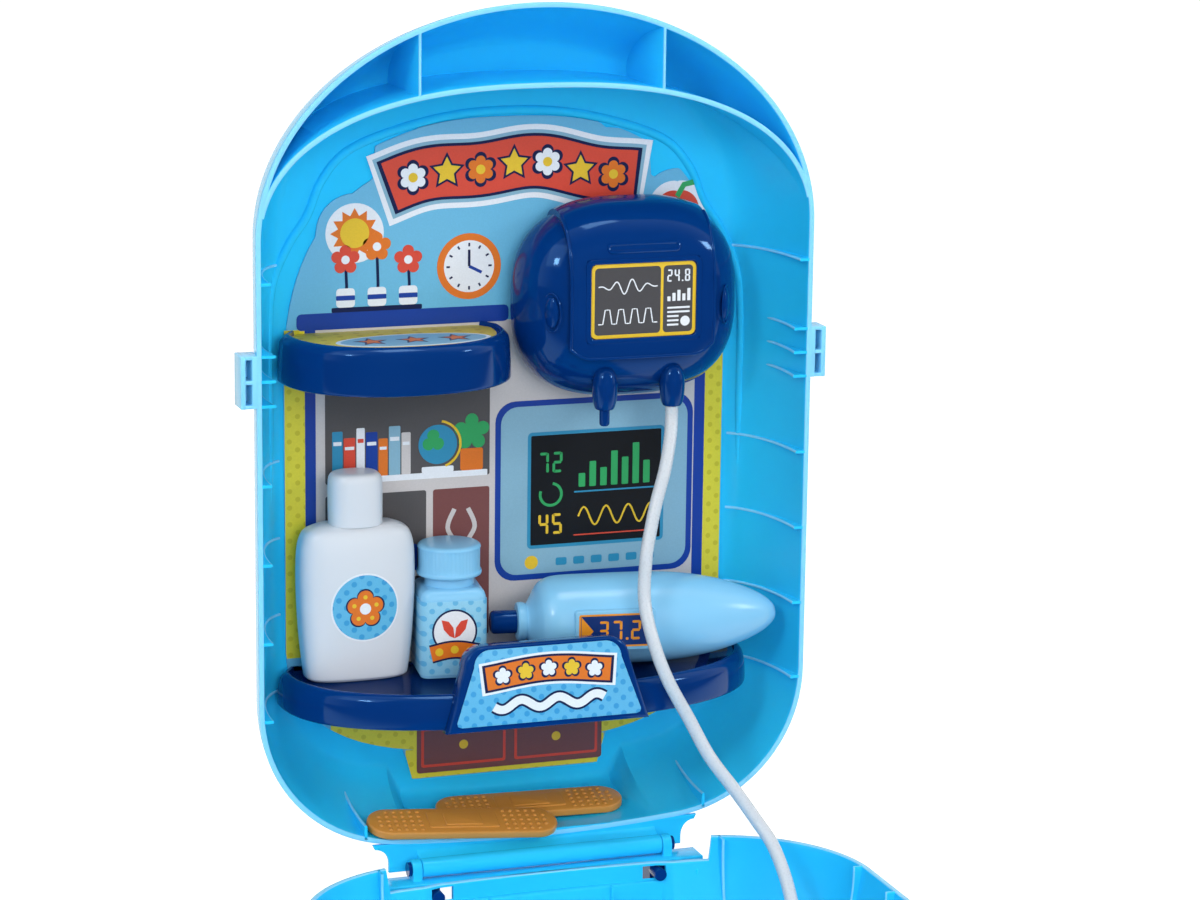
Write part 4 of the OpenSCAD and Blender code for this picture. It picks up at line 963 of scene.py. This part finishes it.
def at_sign(p):
    """(across, up the sign, out of its face) to the part's frame."""
    c, s = math.cos(sign_lean), math.sin(sign_lean)
    y, z = -p[..., 2], p[..., 1]
    return lid_place(cols(sign_x + p[..., 0], sign_y + y * c + z * s,
                               lower_v - lower_h - y * s + z * c))


def sign_shape(k):
    """The sign's outline drawn in by k: wide foot, round shoulders."""
    hw, tw, c = sign_w / 2 - k, (sign_w - 22) / 2 - k, 9 - k / 2
    a = np.radians(np.linspace(0, 90, 12))
    right_side = cols(tw - c + 3 + c * np.cos(a), sign_h - k - c + c * np.sin(a))
    foot = np.array([[hw, 0.0]]) if k == 0 else np.array([[hw - 2, 0.0], [hw - 0.4, 0.6], [hw, 2.0]])
    right_side = np.vstack([foot, right_side])
    return np.vstack([right_side, right_side[::-1] * (-1, 1)])


build("lower_shelf_tray", [shelf(0, lower_hw, lower_d, lower_n, lower_v, lower_h),
                           pad(sign_shape(0), -sign_t, 0, 1.0, 1.6, at_sign)], [navy], "lid",
      ["lower_shelf"], crease=50)

# The sign's sticker: gloss vinyl print in the sign's own outline, dotted pale blue, with an orange band of flowers
# over a white wave.
blue_vinyl = ink("printed_ink_blue_vinyl_dotted", "#62B9E2", "#3C9CD2", 4.6, 1.2)


def on_sign(p):
    """Places a flat on the sticker, whose foot is 2.5 mm up the sign."""
    return at_sign(p + (0, 2.5, 0))


sign_inks = ["vinyl", "white", "dark", "orange", "gold"]
sign_print = [pad(sign_shape(4), 0, 0.4, 0, 0.1, on_sign)]
print_sign = printer(sign_print, sign_inks, on_sign, 0.3, 0.4)
sign_arc = lambda x: 20.5 + 1.6 * np.cos(x / 12)
for name, wide, level, grow in (("white", 13.5, 1, 2.5), ("dark", 11.5, 2, 1.2), ("orange", 9.6, 3, 0)):
    line_x = np.linspace(-27 - grow, 27 + grow, 40)
    print_sign(name, stroke(cols(line_x, sign_arc(line_x)), wide), level)
for i, cx in enumerate((-20, -10, 0, 10, 20)):
    print_sign("dark", petals(cx, sign_arc(cx), 4.4, 5, 0.35), 4)
    print_sign("gold" if i % 2 else "white", petals(cx, sign_arc(cx), 3.4, 5, 0.35), 5)
line_x = np.linspace(-24, 24, 60)
for name, wide, level in (("dark", 5.2, 1), ("white", 3.4, 2)):
    print_sign(name, stroke(cols(line_x, 8 + 1.8 * np.sin(line_x / 2.6)), wide), level)
build("sign_sticker_print", sign_print, [blue_vinyl] + [inks[name] for name in sign_inks[1:]], "lid",
      ["sign_sticker"])


# The toy monitor: a domed dark blue housing, screwed to the lid's back, with a raised cover over its front and top.
# Two nozzles under it are for tubes, the left one with a bare spigot, and a small boss is moulded on each flank.
mon_w, mon_h, mon_d, mon_x, mon_v, mon_n = 98.0, 83.0, 36.0, 47.0, 224.0, 2.7
mon_steps = curve_through([[0, 0.054], [0.14, 0.014], [0.31, 0], [0.5, 0.01], [0.67, 0.041], [0.81, 0.089],
                           [0.92, 0.157], [0.98, 0.241], [1, 0.337]], 5)


def at_monitor(p):
    """(across from its middle, up from its middle, out from the card) to the part's frame."""
    return lid_place(cols(mon_x + p[..., 0], card_y - p[..., 2], mon_v + p[..., 1]))


a = np.linspace(0, 2 * np.pi, 128, endpoint=False)
mon_rings = np.array([cols((mon_w / 2 - k * mon_h) * spow(np.cos(a), 2 / mon_n),
                                (mon_h / 2 - k * mon_h) * spow(np.sin(a), 2 / mon_n), s * mon_d)
                      for s, k in mon_steps])


def monitor_lift(x, v):
    """How far the housing's front stands out at a point: the inset whose superellipse passes there gives it."""
    x, v = np.atleast_1d(x).astype(float), np.atleast_1d(v).astype(float)
    k = np.linspace(0, 0.45 * mon_h, 500)[:, None]
    f = (np.abs(x) / (mon_w / 2 - k)) ** mon_n + (np.abs(v) / (mon_h / 2 - k)) ** mon_n
    level = k[np.argmax(f > 1, axis=0), 0]
    level[f[-1] <= 1] = 0.45 * mon_h
    front = mon_steps[mon_steps[:, 0] >= 0.31]
    return np.interp(level / mon_h, front[:, 1], front[:, 0] * mon_d)


boss_w, boss_h, boss_out, nozzle_gap, nozzle_y, nozzle_v = 3.4, 6.6, 1.5, 15, 12, 180.5
monitor_parts = [solid(at_monitor(mon_rings))]
for s in (-1, 1):
    profile = np.vstack([[[0, 0], [3.3, 0]], curve_through([
        [3.9, 0.3], [4.5, 1.6], [5.1, 4.4], [5.4, 8], [5.3, 11.5], [4.5, 14.9], [2.8, 17.4], [0.0, 18.4]], 5)])
    nozzle = lambda p: lid_place(p + (mon_x + s * nozzle_gap, nozzle_y, nozzle_v))
    monitor_parts.append(turned(profile, nozzle, 40))
    c = np.array([s * 38.5, -1.5])
    ball = [[math.sin(q), -math.cos(q)] for q in np.linspace(0, math.pi, 16)]
    lift = float(monitor_lift(c[:1], c[1:])[0])
    tilt = math.radians(-s * 52)

    def boss(p):
        """A flat oval on the housing's flank, turned to lie along it."""
        x, y, z = p[..., 0] * boss_w, p[..., 1] * boss_h, p[..., 2] * boss_out
        return at_monitor(cols(c[0] + x * math.cos(tilt) - z * math.sin(tilt), c[1] + y,
                                    lift + 0.2 + x * math.sin(tilt) + z * math.cos(tilt)))

    monitor_parts.append(turned(ball, boss, 32))
    ring_a = np.linspace(0, 2 * np.pi, 49)
    ring_line = cols(1.35 * np.cos(ring_a), 1.22 * np.sin(ring_a), 0.1)
    monitor_parts.append(solid(hose(boss(ring_line), 0.35, 8, (0.05, 1, 0.1))))
spigot = np.vstack([[[0, -7], [1.5, -7], [2.1, -6.3], [2.2, -5.5], [2.2, 1], [0, 1]]])
monitor_parts.append(turned(spigot, lambda p: lid_place(p + (mon_x - nozzle_gap, nozzle_y, nozzle_v)), 32))
build("monitor_housing_moulding", monitor_parts, [navy], "lid", ["monitor_housing"], crease=40)

# The cover: a separate glossy moulding, 2.1 mm proud, that bends over the top of the housing. A raised lip runs
# round its edge, and a slot and a window for the screen are moulded into it.
cover_w, cover_t, cover_low, screen_v = 63.0, 2.1, -21.0, 3.0


def cover_line(x, grow):
    """The housing's section at x, from behind its top over the front to the cover's low edge, at equal steps."""
    s, k = mon_steps[:, 0], mon_steps[:, 1] * mon_h - grow
    wide = mon_w / 2 - k
    ok = (wide > abs(x)) & (s > 0.02)
    v = (mon_h / 2 - k[ok]) * (1 - (abs(x) / wide[ok]) ** mon_n) ** (1 / mon_n)
    out = s[ok] * mon_d + grow
    low = cover_low + max(0, abs(x) - cover_w / 2 + 9) ** 2 / 18
    line = np.vstack([cols(v, out), cols(-v, out)[::-1]])
    run = np.concatenate([[0], np.cumsum(np.linalg.norm(np.diff(line, axis=0), axis=1))])
    front = np.arange(len(line)) > len(line) // 4
    stop = np.interp(low, line[front][::-1, 0], run[front][::-1])
    at = np.linspace(0, stop, 80)
    return cols(x, np.interp(at, run, line[:, 0]), np.interp(at, run, line[:, 1]))


cover_x = cover_w / 2 * np.sin(np.linspace(-np.pi / 2, np.pi / 2, 49))
outer = np.array([cover_line(x, cover_t) for x in cover_x])
window = (np.abs(outer[..., 0]) < 24.4) & (np.abs(outer[..., 1] - screen_v) < 16.8) & (outer[..., 2] > 20)
outer[..., 2] = np.where(window, np.minimum(outer[..., 2], mon_d), outer[..., 2])
inner = np.array([cover_line(x, -0.6) for x in cover_x])
cover_rings = np.concatenate([outer, inner[:, ::-1]], axis=1)
cover_parts = [solid(at_monitor(cover_rings))]
lip = np.concatenate([outer[0, 20:], outer[1:-1, -1], outer[-1, 20:][::-1]])
cover_parts.append(solid(hose(at_monitor(lip - (0, 0, 0.15)), 0.75, 10, (0.5, 0.6, 0.62))))
slot_a = box_outline(-15.5, 15.5, 23.6, 26.6, 1.5, 8)
slot_a = np.vstack([slot_a[:-1], slot_a[:1]])
slot_line = cols(*slot_a.T, monitor_lift(*slot_a.T) + cover_t + 0.45)
cover_parts.append(solid(hose(at_monitor(slot_line), 0.8, 8, (0.02, 1, 0.03))))
bezel_out, bezel_in = box_outline(-25.6, 25.6, -17.8, 17.8, 3.4, 8), box_outline(-23.2, 23.2, -15.7, 15.7, 1.8, 8)
bezel = np.array([cols(s[:, 0], s[:, 1] + screen_v, z) for s, z in (
    (bezel_out, 30), (bezel_out, 37.8), (shrink(bezel_out, 0.2), 38.1), (shrink(bezel_out, 0.6), 38.2),
    (shrink(bezel_in, -0.6), 38.2), (shrink(bezel_in, -0.15), 38.0), (bezel_in, 37.7), (bezel_in, 30))])
cover_parts.append(solid(at_monitor(np.concatenate([bezel, bezel[:1]])), 0, caps=False))
build("monitor_front_cover", cover_parts, [navy], "lid", ["monitor_front"], crease=50, bevel=0.6)

# The screen: a printed gloss sticker on a thin plate, laid in the cover's window. It is dark grey with a yellow
# frame, two traces, bars and plain figures.
screen_out = 37.3
screen_grey = ink("printed_ink_screen_grey", "#4C4B4E")
at_screen = lambda p: at_monitor(p + (0, screen_v, 0))
screen_inks = ["screen", "gold", "white"]
screen_parts = [pad(box_outline(-23.1, 23.1, -15.6, 15.6, 2.6, 8), 34.5, screen_out, 0, 0.1, at_screen, 1)]
print_screen = printer(screen_parts, screen_inks, at_screen, screen_out - 0.3, screen_out)
for x0, x1 in ((-21.6, 7.4), (8.6, 21.6)):
    print_screen("screen", box_outline(x0, x1, -14.1, 14.1, 1.6, 6), 1)
line_x = np.linspace(-20, 6, 90)
pulse = 6 + 3.2 * np.sin(line_x * 0.9) * np.exp(-((line_x + 7) / 8) ** 2)
print_screen("white", stroke(cols(line_x, pulse), 0.5), 2)
steps_y = np.where((np.arange(27) // 3) % 2, -3.5, -9.5)
print_screen("white", stroke(cols(np.linspace(-20, 6, 27), steps_y), 0.5), 2)
for shape in digits("24.8", 10.2, 7.2, 5.2, 2.3):
    print_screen("white", shape, 2)
for i, h in enumerate((2.0, 3.4, 4.6, 3.0, 5.2)):
    print_screen("white", box_outline(10.4 + i * 2.2, 11.8 + i * 2.2, -1, -1 + h, 0.2), 2)
for i in range(5):
    print_screen("white", box_outline(10.4, 20.4 if i < 2 else 15.5, -4.2 - i * 1.8, -3.4 - i * 1.8, 0.2), 2)
print_screen("white", disc(18.4, -9.6, 2.1), 2)
build("monitor_screen_print", screen_parts, [screen_grey] + [inks[name] for name in screen_inks[1:]], "lid",
      ["monitor_screen"])


# The lotion bottle: blow-moulded white polyethylene, an oval body with round shoulders and a tall cap moulded on.
# It stands loose on the lower shelf.
bottle_w, bottle_t, bottle_h, bottle_n = 50.0, 24.0, 66.0, 3.0
bottle_at = np.array([-71.0, 30.5, 68.55])
bottle_steps = curve_through([[0, 0.8, 0.74], [0.012, 0.855, 0.81], [0.05, 0.89, 0.88], [0.3, 0.96, 0.98],
                              [0.6, 1, 1], [0.82, 0.99, 0.97], [0.92, 0.94, 0.9], [0.97, 0.85, 0.8],
                              [1, 0.66, 0.6]], 6)


def oval_rings(w, t, n, rows):
    """Superellipses of the width and thickness shares in rows, stacked at their heights."""
    a = np.linspace(0, 2 * np.pi, 96, endpoint=False)
    x, y = w / 2 * spow(np.cos(a), 2 / n), t / 2 * spow(np.sin(a), 2 / n)
    return np.array([cols(p * x, q * y, z) for z, p, q in rows])


def at_bottle(p):
    """From the bottle's own frame to the part's."""
    return lid_place(np.asarray(p) + bottle_at)


# Blow-moulded polyethylene has a soft satin skin with no grain that shows, and is faintly translucent.
polyethylene = moulded("blow_moulded_white_polyethylene", "#D8DDE3", "#D4DBE2", 0.3, 0.9, 0.002, 0.08)
bottle_rings = oval_rings(bottle_w, bottle_t, bottle_n, bottle_steps * (bottle_h, 1, 1))
build("bottle_body_moulding", [solid(at_bottle(bottle_rings))], [polyethylene], "bottle",
      ["bottle_body"])
cap_rows = curve_through([[0, 0.97, 0.97], [0.02, 0.99, 0.99], [0.35, 1, 1], [0.7, 1, 1], [0.86, 0.98, 0.98],
                          [0.95, 0.9, 0.9], [0.99, 0.76, 0.76], [1, 0.55, 0.55]], 5) * (22, 1, 1)
cap_rows[:, 0] += bottle_h
build("bottle_cap_moulding", [solid(at_bottle(oval_rings(22.5, 18.5, 2.6, cap_rows)))], [polyethylene], "bottle",
      ["bottle_cap"])

# The bottle's label: a round gloss vinyl sticker, stuck round the curved front. It is dotted blue with a white
# edge and an orange flower.
label_c = np.array([1.0, bottle_h * 0.49])


def on_bottle(shape, high, mat, rows=5):
    """A flat shape wrapped on the bottle: its rings shrink to its middle, and the superellipse there gives y."""
    mid = shape.mean(0)
    rings = np.array([mid + (shape - mid) * k for k in np.linspace(1, 0.05, rows)])
    rings = np.concatenate([rings[:1], rings])
    z = (rings[..., 1] + label_c[1]) / bottle_h
    w = bottle_w / 2 * np.interp(z, bottle_steps[:, 0], bottle_steps[:, 1])
    t = bottle_t / 2 * np.interp(z, bottle_steps[:, 0], bottle_steps[:, 2])
    y = -t * (1 - np.abs((rings[..., 0] + label_c[0]) / w) ** bottle_n) ** (1 / bottle_n) - high
    y[0] += high + 0.1
    return solid(at_bottle(cols(rings[..., 0] + label_c[0], y, rings[..., 1] + label_c[1])), mat)


label_parts = [on_bottle(disc(0, 0, 14.6, n=72), 0.15, 1), on_bottle(disc(0, 0, 13.9, n=72), 0.2, 0),
               on_bottle(petals(0, -0.5, 8.6, 5, 0.3), 0.26, 4), on_bottle(petals(0, -0.5, 7.9, 5, 0.3), 0.32, 2),
               on_bottle(disc(0, -0.5, 2.4, n=24), 0.38, 1)]
for q in range(5):
    d = math.radians(90 + q * 72)
    label_parts.append(on_bottle(disc(5.0 * math.cos(d), -0.5 + 5.0 * math.sin(d), 0.9, n=16), 0.38, 3, 3))
build("bottle_label_print", label_parts, [blue_vinyl, inks["white"], inks["orange"], inks["gold"], inks["dark"]],
      "bottle", ["bottle_label"])


# The square jar: a light blue ABS moulding with round corners and a round cap with a knurled edge, moulded on.
# It stands loose on the lower shelf beside the bottle, turned a little.
jar_w, jar_round, wrap_t = 28.0, 4.0, 0.35
jar_at, jar_turn = np.array([-31.0, 27.5, 68.55]), -7


def rotate(p, ax, angle):
    """Turned by angle degrees about the axis ax (0 for X, 1 for Y, 2 for Z)."""
    c, s = math.cos(math.radians(angle)), math.sin(math.radians(angle))
    i, j = [(1, 2), (2, 0), (0, 1)][ax]
    q = np.array(p, float)
    q[..., i], q[..., j] = p[..., i] * c - p[..., j] * s, p[..., i] * s + p[..., j] * c
    return q


def at_jar(p):
    """From the jar's own frame to the part's."""
    return lid_place(rotate(p, 2, jar_turn) + jar_at)


# A satin mould gives this opaque plastic a soft, even gloss.
light_blue = moulded("light_blue_satin_abs", "#8ACAEE", "#80C4EA", 0.24, 0.9, 0.012, 0.15)
square = box_outline(-jar_w / 2, jar_w / 2, -jar_w / 2, jar_w / 2, jar_round, 8)
jar_rows = [(1.0, 0), (0.3, 0.3), (0, 1.0), (0, 33.5), (0.25, 35), (0.8, 36.4), (1.9, 37.5), (3.4, 38)]
jar_rings = np.array([cols(*shrink(square, k).T, z) for k, z in jar_rows])
neck = [[0, 37.5], [10.5, 37.5], [10.5, 42], [8.5, 42], [8.5, 47], [0, 47]]
build("jar_body_moulding", [solid(at_jar(jar_rings)), turned(neck, at_jar)], [light_blue], "jar",
      ["jar_body"])
a = np.linspace(0, 2 * np.pi, 192, endpoint=False)
knurl = 1 - 0.009 * (0.5 + 0.5 * np.cos(48 * a))
cap_profile = np.vstack([[[8.8, 42.15], [13.2, 42.15]], curve_through(
    [[13.6, 42.4], [13.8, 43.2], [13.5, 44.2], [13.1, 44.8], [13.1, 53.4], [13.35, 53.9], [13.2, 54.6], [12.4, 55.3],
     [11.2, 55.6]], 3), [[0.0, 55.6]]])
ribbed = ((cap_profile[:, 1] > 44.6) & (cap_profile[:, 1] < 53.5))[:, None]
radius = cap_profile[:, :1] * np.where(ribbed, knurl[None, :], 1.0)
cap_rings = cols(radius * np.cos(a), radius * np.sin(a), cap_profile[:, 1:])
build("jar_cap_moulding", [solid(at_jar(cap_rings))], [light_blue], "jar", ["jar_cap"], crease=45)

# The jar's label: a gloss vinyl wrap round all four sides, dotted pale blue, with a white disc, two leaves and an
# orange band on its front.
wrap_r = jar_w / 2 + wrap_t
wrap_line = box_outline(-wrap_r, wrap_r, -wrap_r, wrap_r, jar_round + wrap_t, 8)
jar_print = [pad(wrap_line, 1.6, 33.4, 0.1, 0.1, at_jar)]
jar_inks = ["vinyl", "white", "dark", "red", "orange", "gold"]
print_jar = printer(jar_print, jar_inks, lambda p: at_jar(cols(p[..., 0], -wrap_r - p[..., 2], p[..., 1])), 0, 0)
jar_vinyl = ink("printed_ink_jar_vinyl_dotted", "#8CCDEB", "#5FB2DE", 4.6, 1.2)
print_jar("dark", disc(0, 20.5, 9.6), 1)
print_jar("white", disc(0, 20.5, 8.8), 2)
for side in (-1, 1):
    leaf = np.array([[0, 17.6], [2.2, 18.6], [4.6, 21.4], [5.6, 25.6], [2.6, 24.9], [0.6, 22.2]]) * (side, 1)
    print_jar("red", anticlockwise(leaf), 3)
jar_arc = lambda x: 11.5 + 1.2 * np.cos(x / 5)
line_x = np.linspace(-10, 10, 30)
for name, wide, level in (("dark", 8.0, 3), ("orange", 6.4, 4)):
    print_jar(name, stroke(cols(line_x, jar_arc(line_x)), wide), level)
for cx in (-6.5, 0, 6.5):
    print_jar("gold", disc(cx, jar_arc(cx), 1.7), 5)
build("jar_label_print", jar_print, [jar_vinyl] + [inks[name] for name in jar_inks[1:]], "jar",
      ["jar_label"])


# The ear thermometer: a light blue ABS handle, egg-shaped and moulded, with a collar, a pressed-in dark blue tip
# and a framed display with a printed sticker. It lies loose on the lower shelf.
thermo_r, thermo_l, tip_r, tip_l = 19.3, 113.0, 5.0, 11.0
thermo_at, thermo_turn = np.array([-2.0, 25.4, 68.5 + thermo_r + 0.05]), -8.5


def at_thermo(p):
    """From the thermometer's own frame, X along its axis from the collar, to the part's."""
    return lid_place(rotate(p, 2, thermo_turn) + thermo_at)


def along_handle(p):
    """A turned shape laid along the handle."""
    return at_thermo(p[..., [2, 0, 1]])


def on_handle(p):
    """(along, up, out) on the handle's front."""
    return at_thermo(cols(p[..., 0], -p[..., 2], p[..., 1]))


share = thermo_l / 116
collar = [[0, 0], [6.6, 0], [7.7, 0.3], [8.2, 1.0], [8.2, 3.0], [7.9, 3.7], [7.5, 4.2]]
handle = curve_through([[7.5, 4.3], [8.3, 5.2], [10.6, 6.6], [13.4, 8.2], [16.2, 10.4], [18.2, 14], [19.1, 20],
                        [19.3, 34], [19.3, 58], [18.3, 74], [15.9, 88], [12.7, 99], [9.4, 107], [6.4, 112],
                        [3.2, 115.2], [0, 116]], 5)
handle[:, 1] *= share
frame_box = box_outline(22, 56.5, -8.75, 8.75, 1.6, 5)
build("thermometer_body_moulding", [turned(np.vstack([collar, handle]), along_handle, 96),
                                    pad(frame_box, 10, thermo_r + 1, 0, 0.5, on_handle)],
      [light_blue], "thermometer", ["thermometer_body"])
tip_profile = [[0, 0.5], [tip_r, 0.5], [tip_r, -tip_l + 1.6], [tip_r - 0.3, -tip_l + 0.8],
               [tip_r - 1, -tip_l + 0.2], [tip_r - 1.8, -tip_l], [0, -tip_l]]
build("thermometer_tip_moulding", [turned(tip_profile, along_handle, 48)], [navy], "thermometer",
      ["thermometer_tip"])
display_parts = []
print_display = printer(display_parts, ["navy", "orange"], on_handle, thermo_r - 0.6, thermo_r + 1.02, 0.05)
print_display("orange", box_outline(23.6, 54.9, -7.2, 7.2, 0.8, 4), 0)
print_display("navy", box_outline(24.4, 54.1, -6.4, 6.4, 0.4, 4), 1)
for shape in [[[24.6, -6.2], [29.8, 0], [24.6, 6.2]]] + digits("37.2", 32, -4.2, 8.4, 4.3):
    print_display("orange", shape, 2)
build("thermometer_display_print", display_parts,
      [ink("printed_ink_display_navy", "#0D3276"), ink("printed_ink_display_orange", "#EF9A24")], "thermometer",
      ["thermometer_display"])


# The toy plasters: tan polypropylene strips, moulded with a raised pad in two steps and rows of small pimples.
# They lie loose in the lid's foot. A fine spark-eroded grain makes them matt.
plaster_l, plaster_w, plaster_t, pimple_pitch = 82.0, 19.5, 3.4, 3.4
tan_plastic = moulded("tan_satin_polypropylene", "#D0903F", "#C98637", 0.33, 0.6, 0.02, 0.08)


def plaster(place, name, node):
    """A strip with round ends, a two-step pad in its middle, and pimples on a 3.4 mm lattice at both ends."""
    r, c, t = plaster_w / 2, plaster_l / 2 - plaster_w / 2, plaster_t
    q = np.radians(np.linspace(-90, 90, 25))
    right_end = cols(c + r * np.cos(q), r * np.sin(q))
    shape = np.vstack([right_end, right_end * (-1, -1)])
    parts = [pad(shape, -t / 2, t / 2, 0.7, 0.9, place),
             pad(box_outline(-15, 15, -6, 6, 1.2, 5), 0, t / 2 + 0.5, 0, 0.4, place),
             pad(box_outline(-8, 8, -4.5, 4.5, 0.8, 5), 0, t / 2 + 0.9, 0, 0.35, place)]
    gx, gy = np.meshgrid(np.arange(18.5, 37, pimple_pitch), np.arange(-2 * pimple_pitch, 7, pimple_pitch))
    spots = cols(gx.ravel(), gy.ravel())
    spots = spots[np.hypot(np.maximum(spots[:, 0] - c, 0), spots[:, 1]) < r - 2]
    spots = np.vstack([spots, spots * (-1, 1)])
    dome = [[0, -0.1], [1.0, -0.1], [0.95, 0.2], [0.7, 0.45], [0.3, 0.56], [0, 0.58]]
    for x, y in spots:
        parts.append(turned(dome, lambda p: place(p + (x, y, t / 2)), 10))
    build(name, parts, [tan_plastic], name.replace("_strip", ""), [node])


plaster(lambda p: lid_place(rotate(rotate(rotate(p, 0, 14), 1, 3.5), 2, -4) + (-32, 3.8, 7.9)),
        "front_plaster_strip", "plaster_front")
plaster(lambda p: lid_place(rotate(rotate(p, 0, 10), 2, -4) + (4, 23.5, 6.6)), "rear_plaster_strip",
        "plaster_rear")
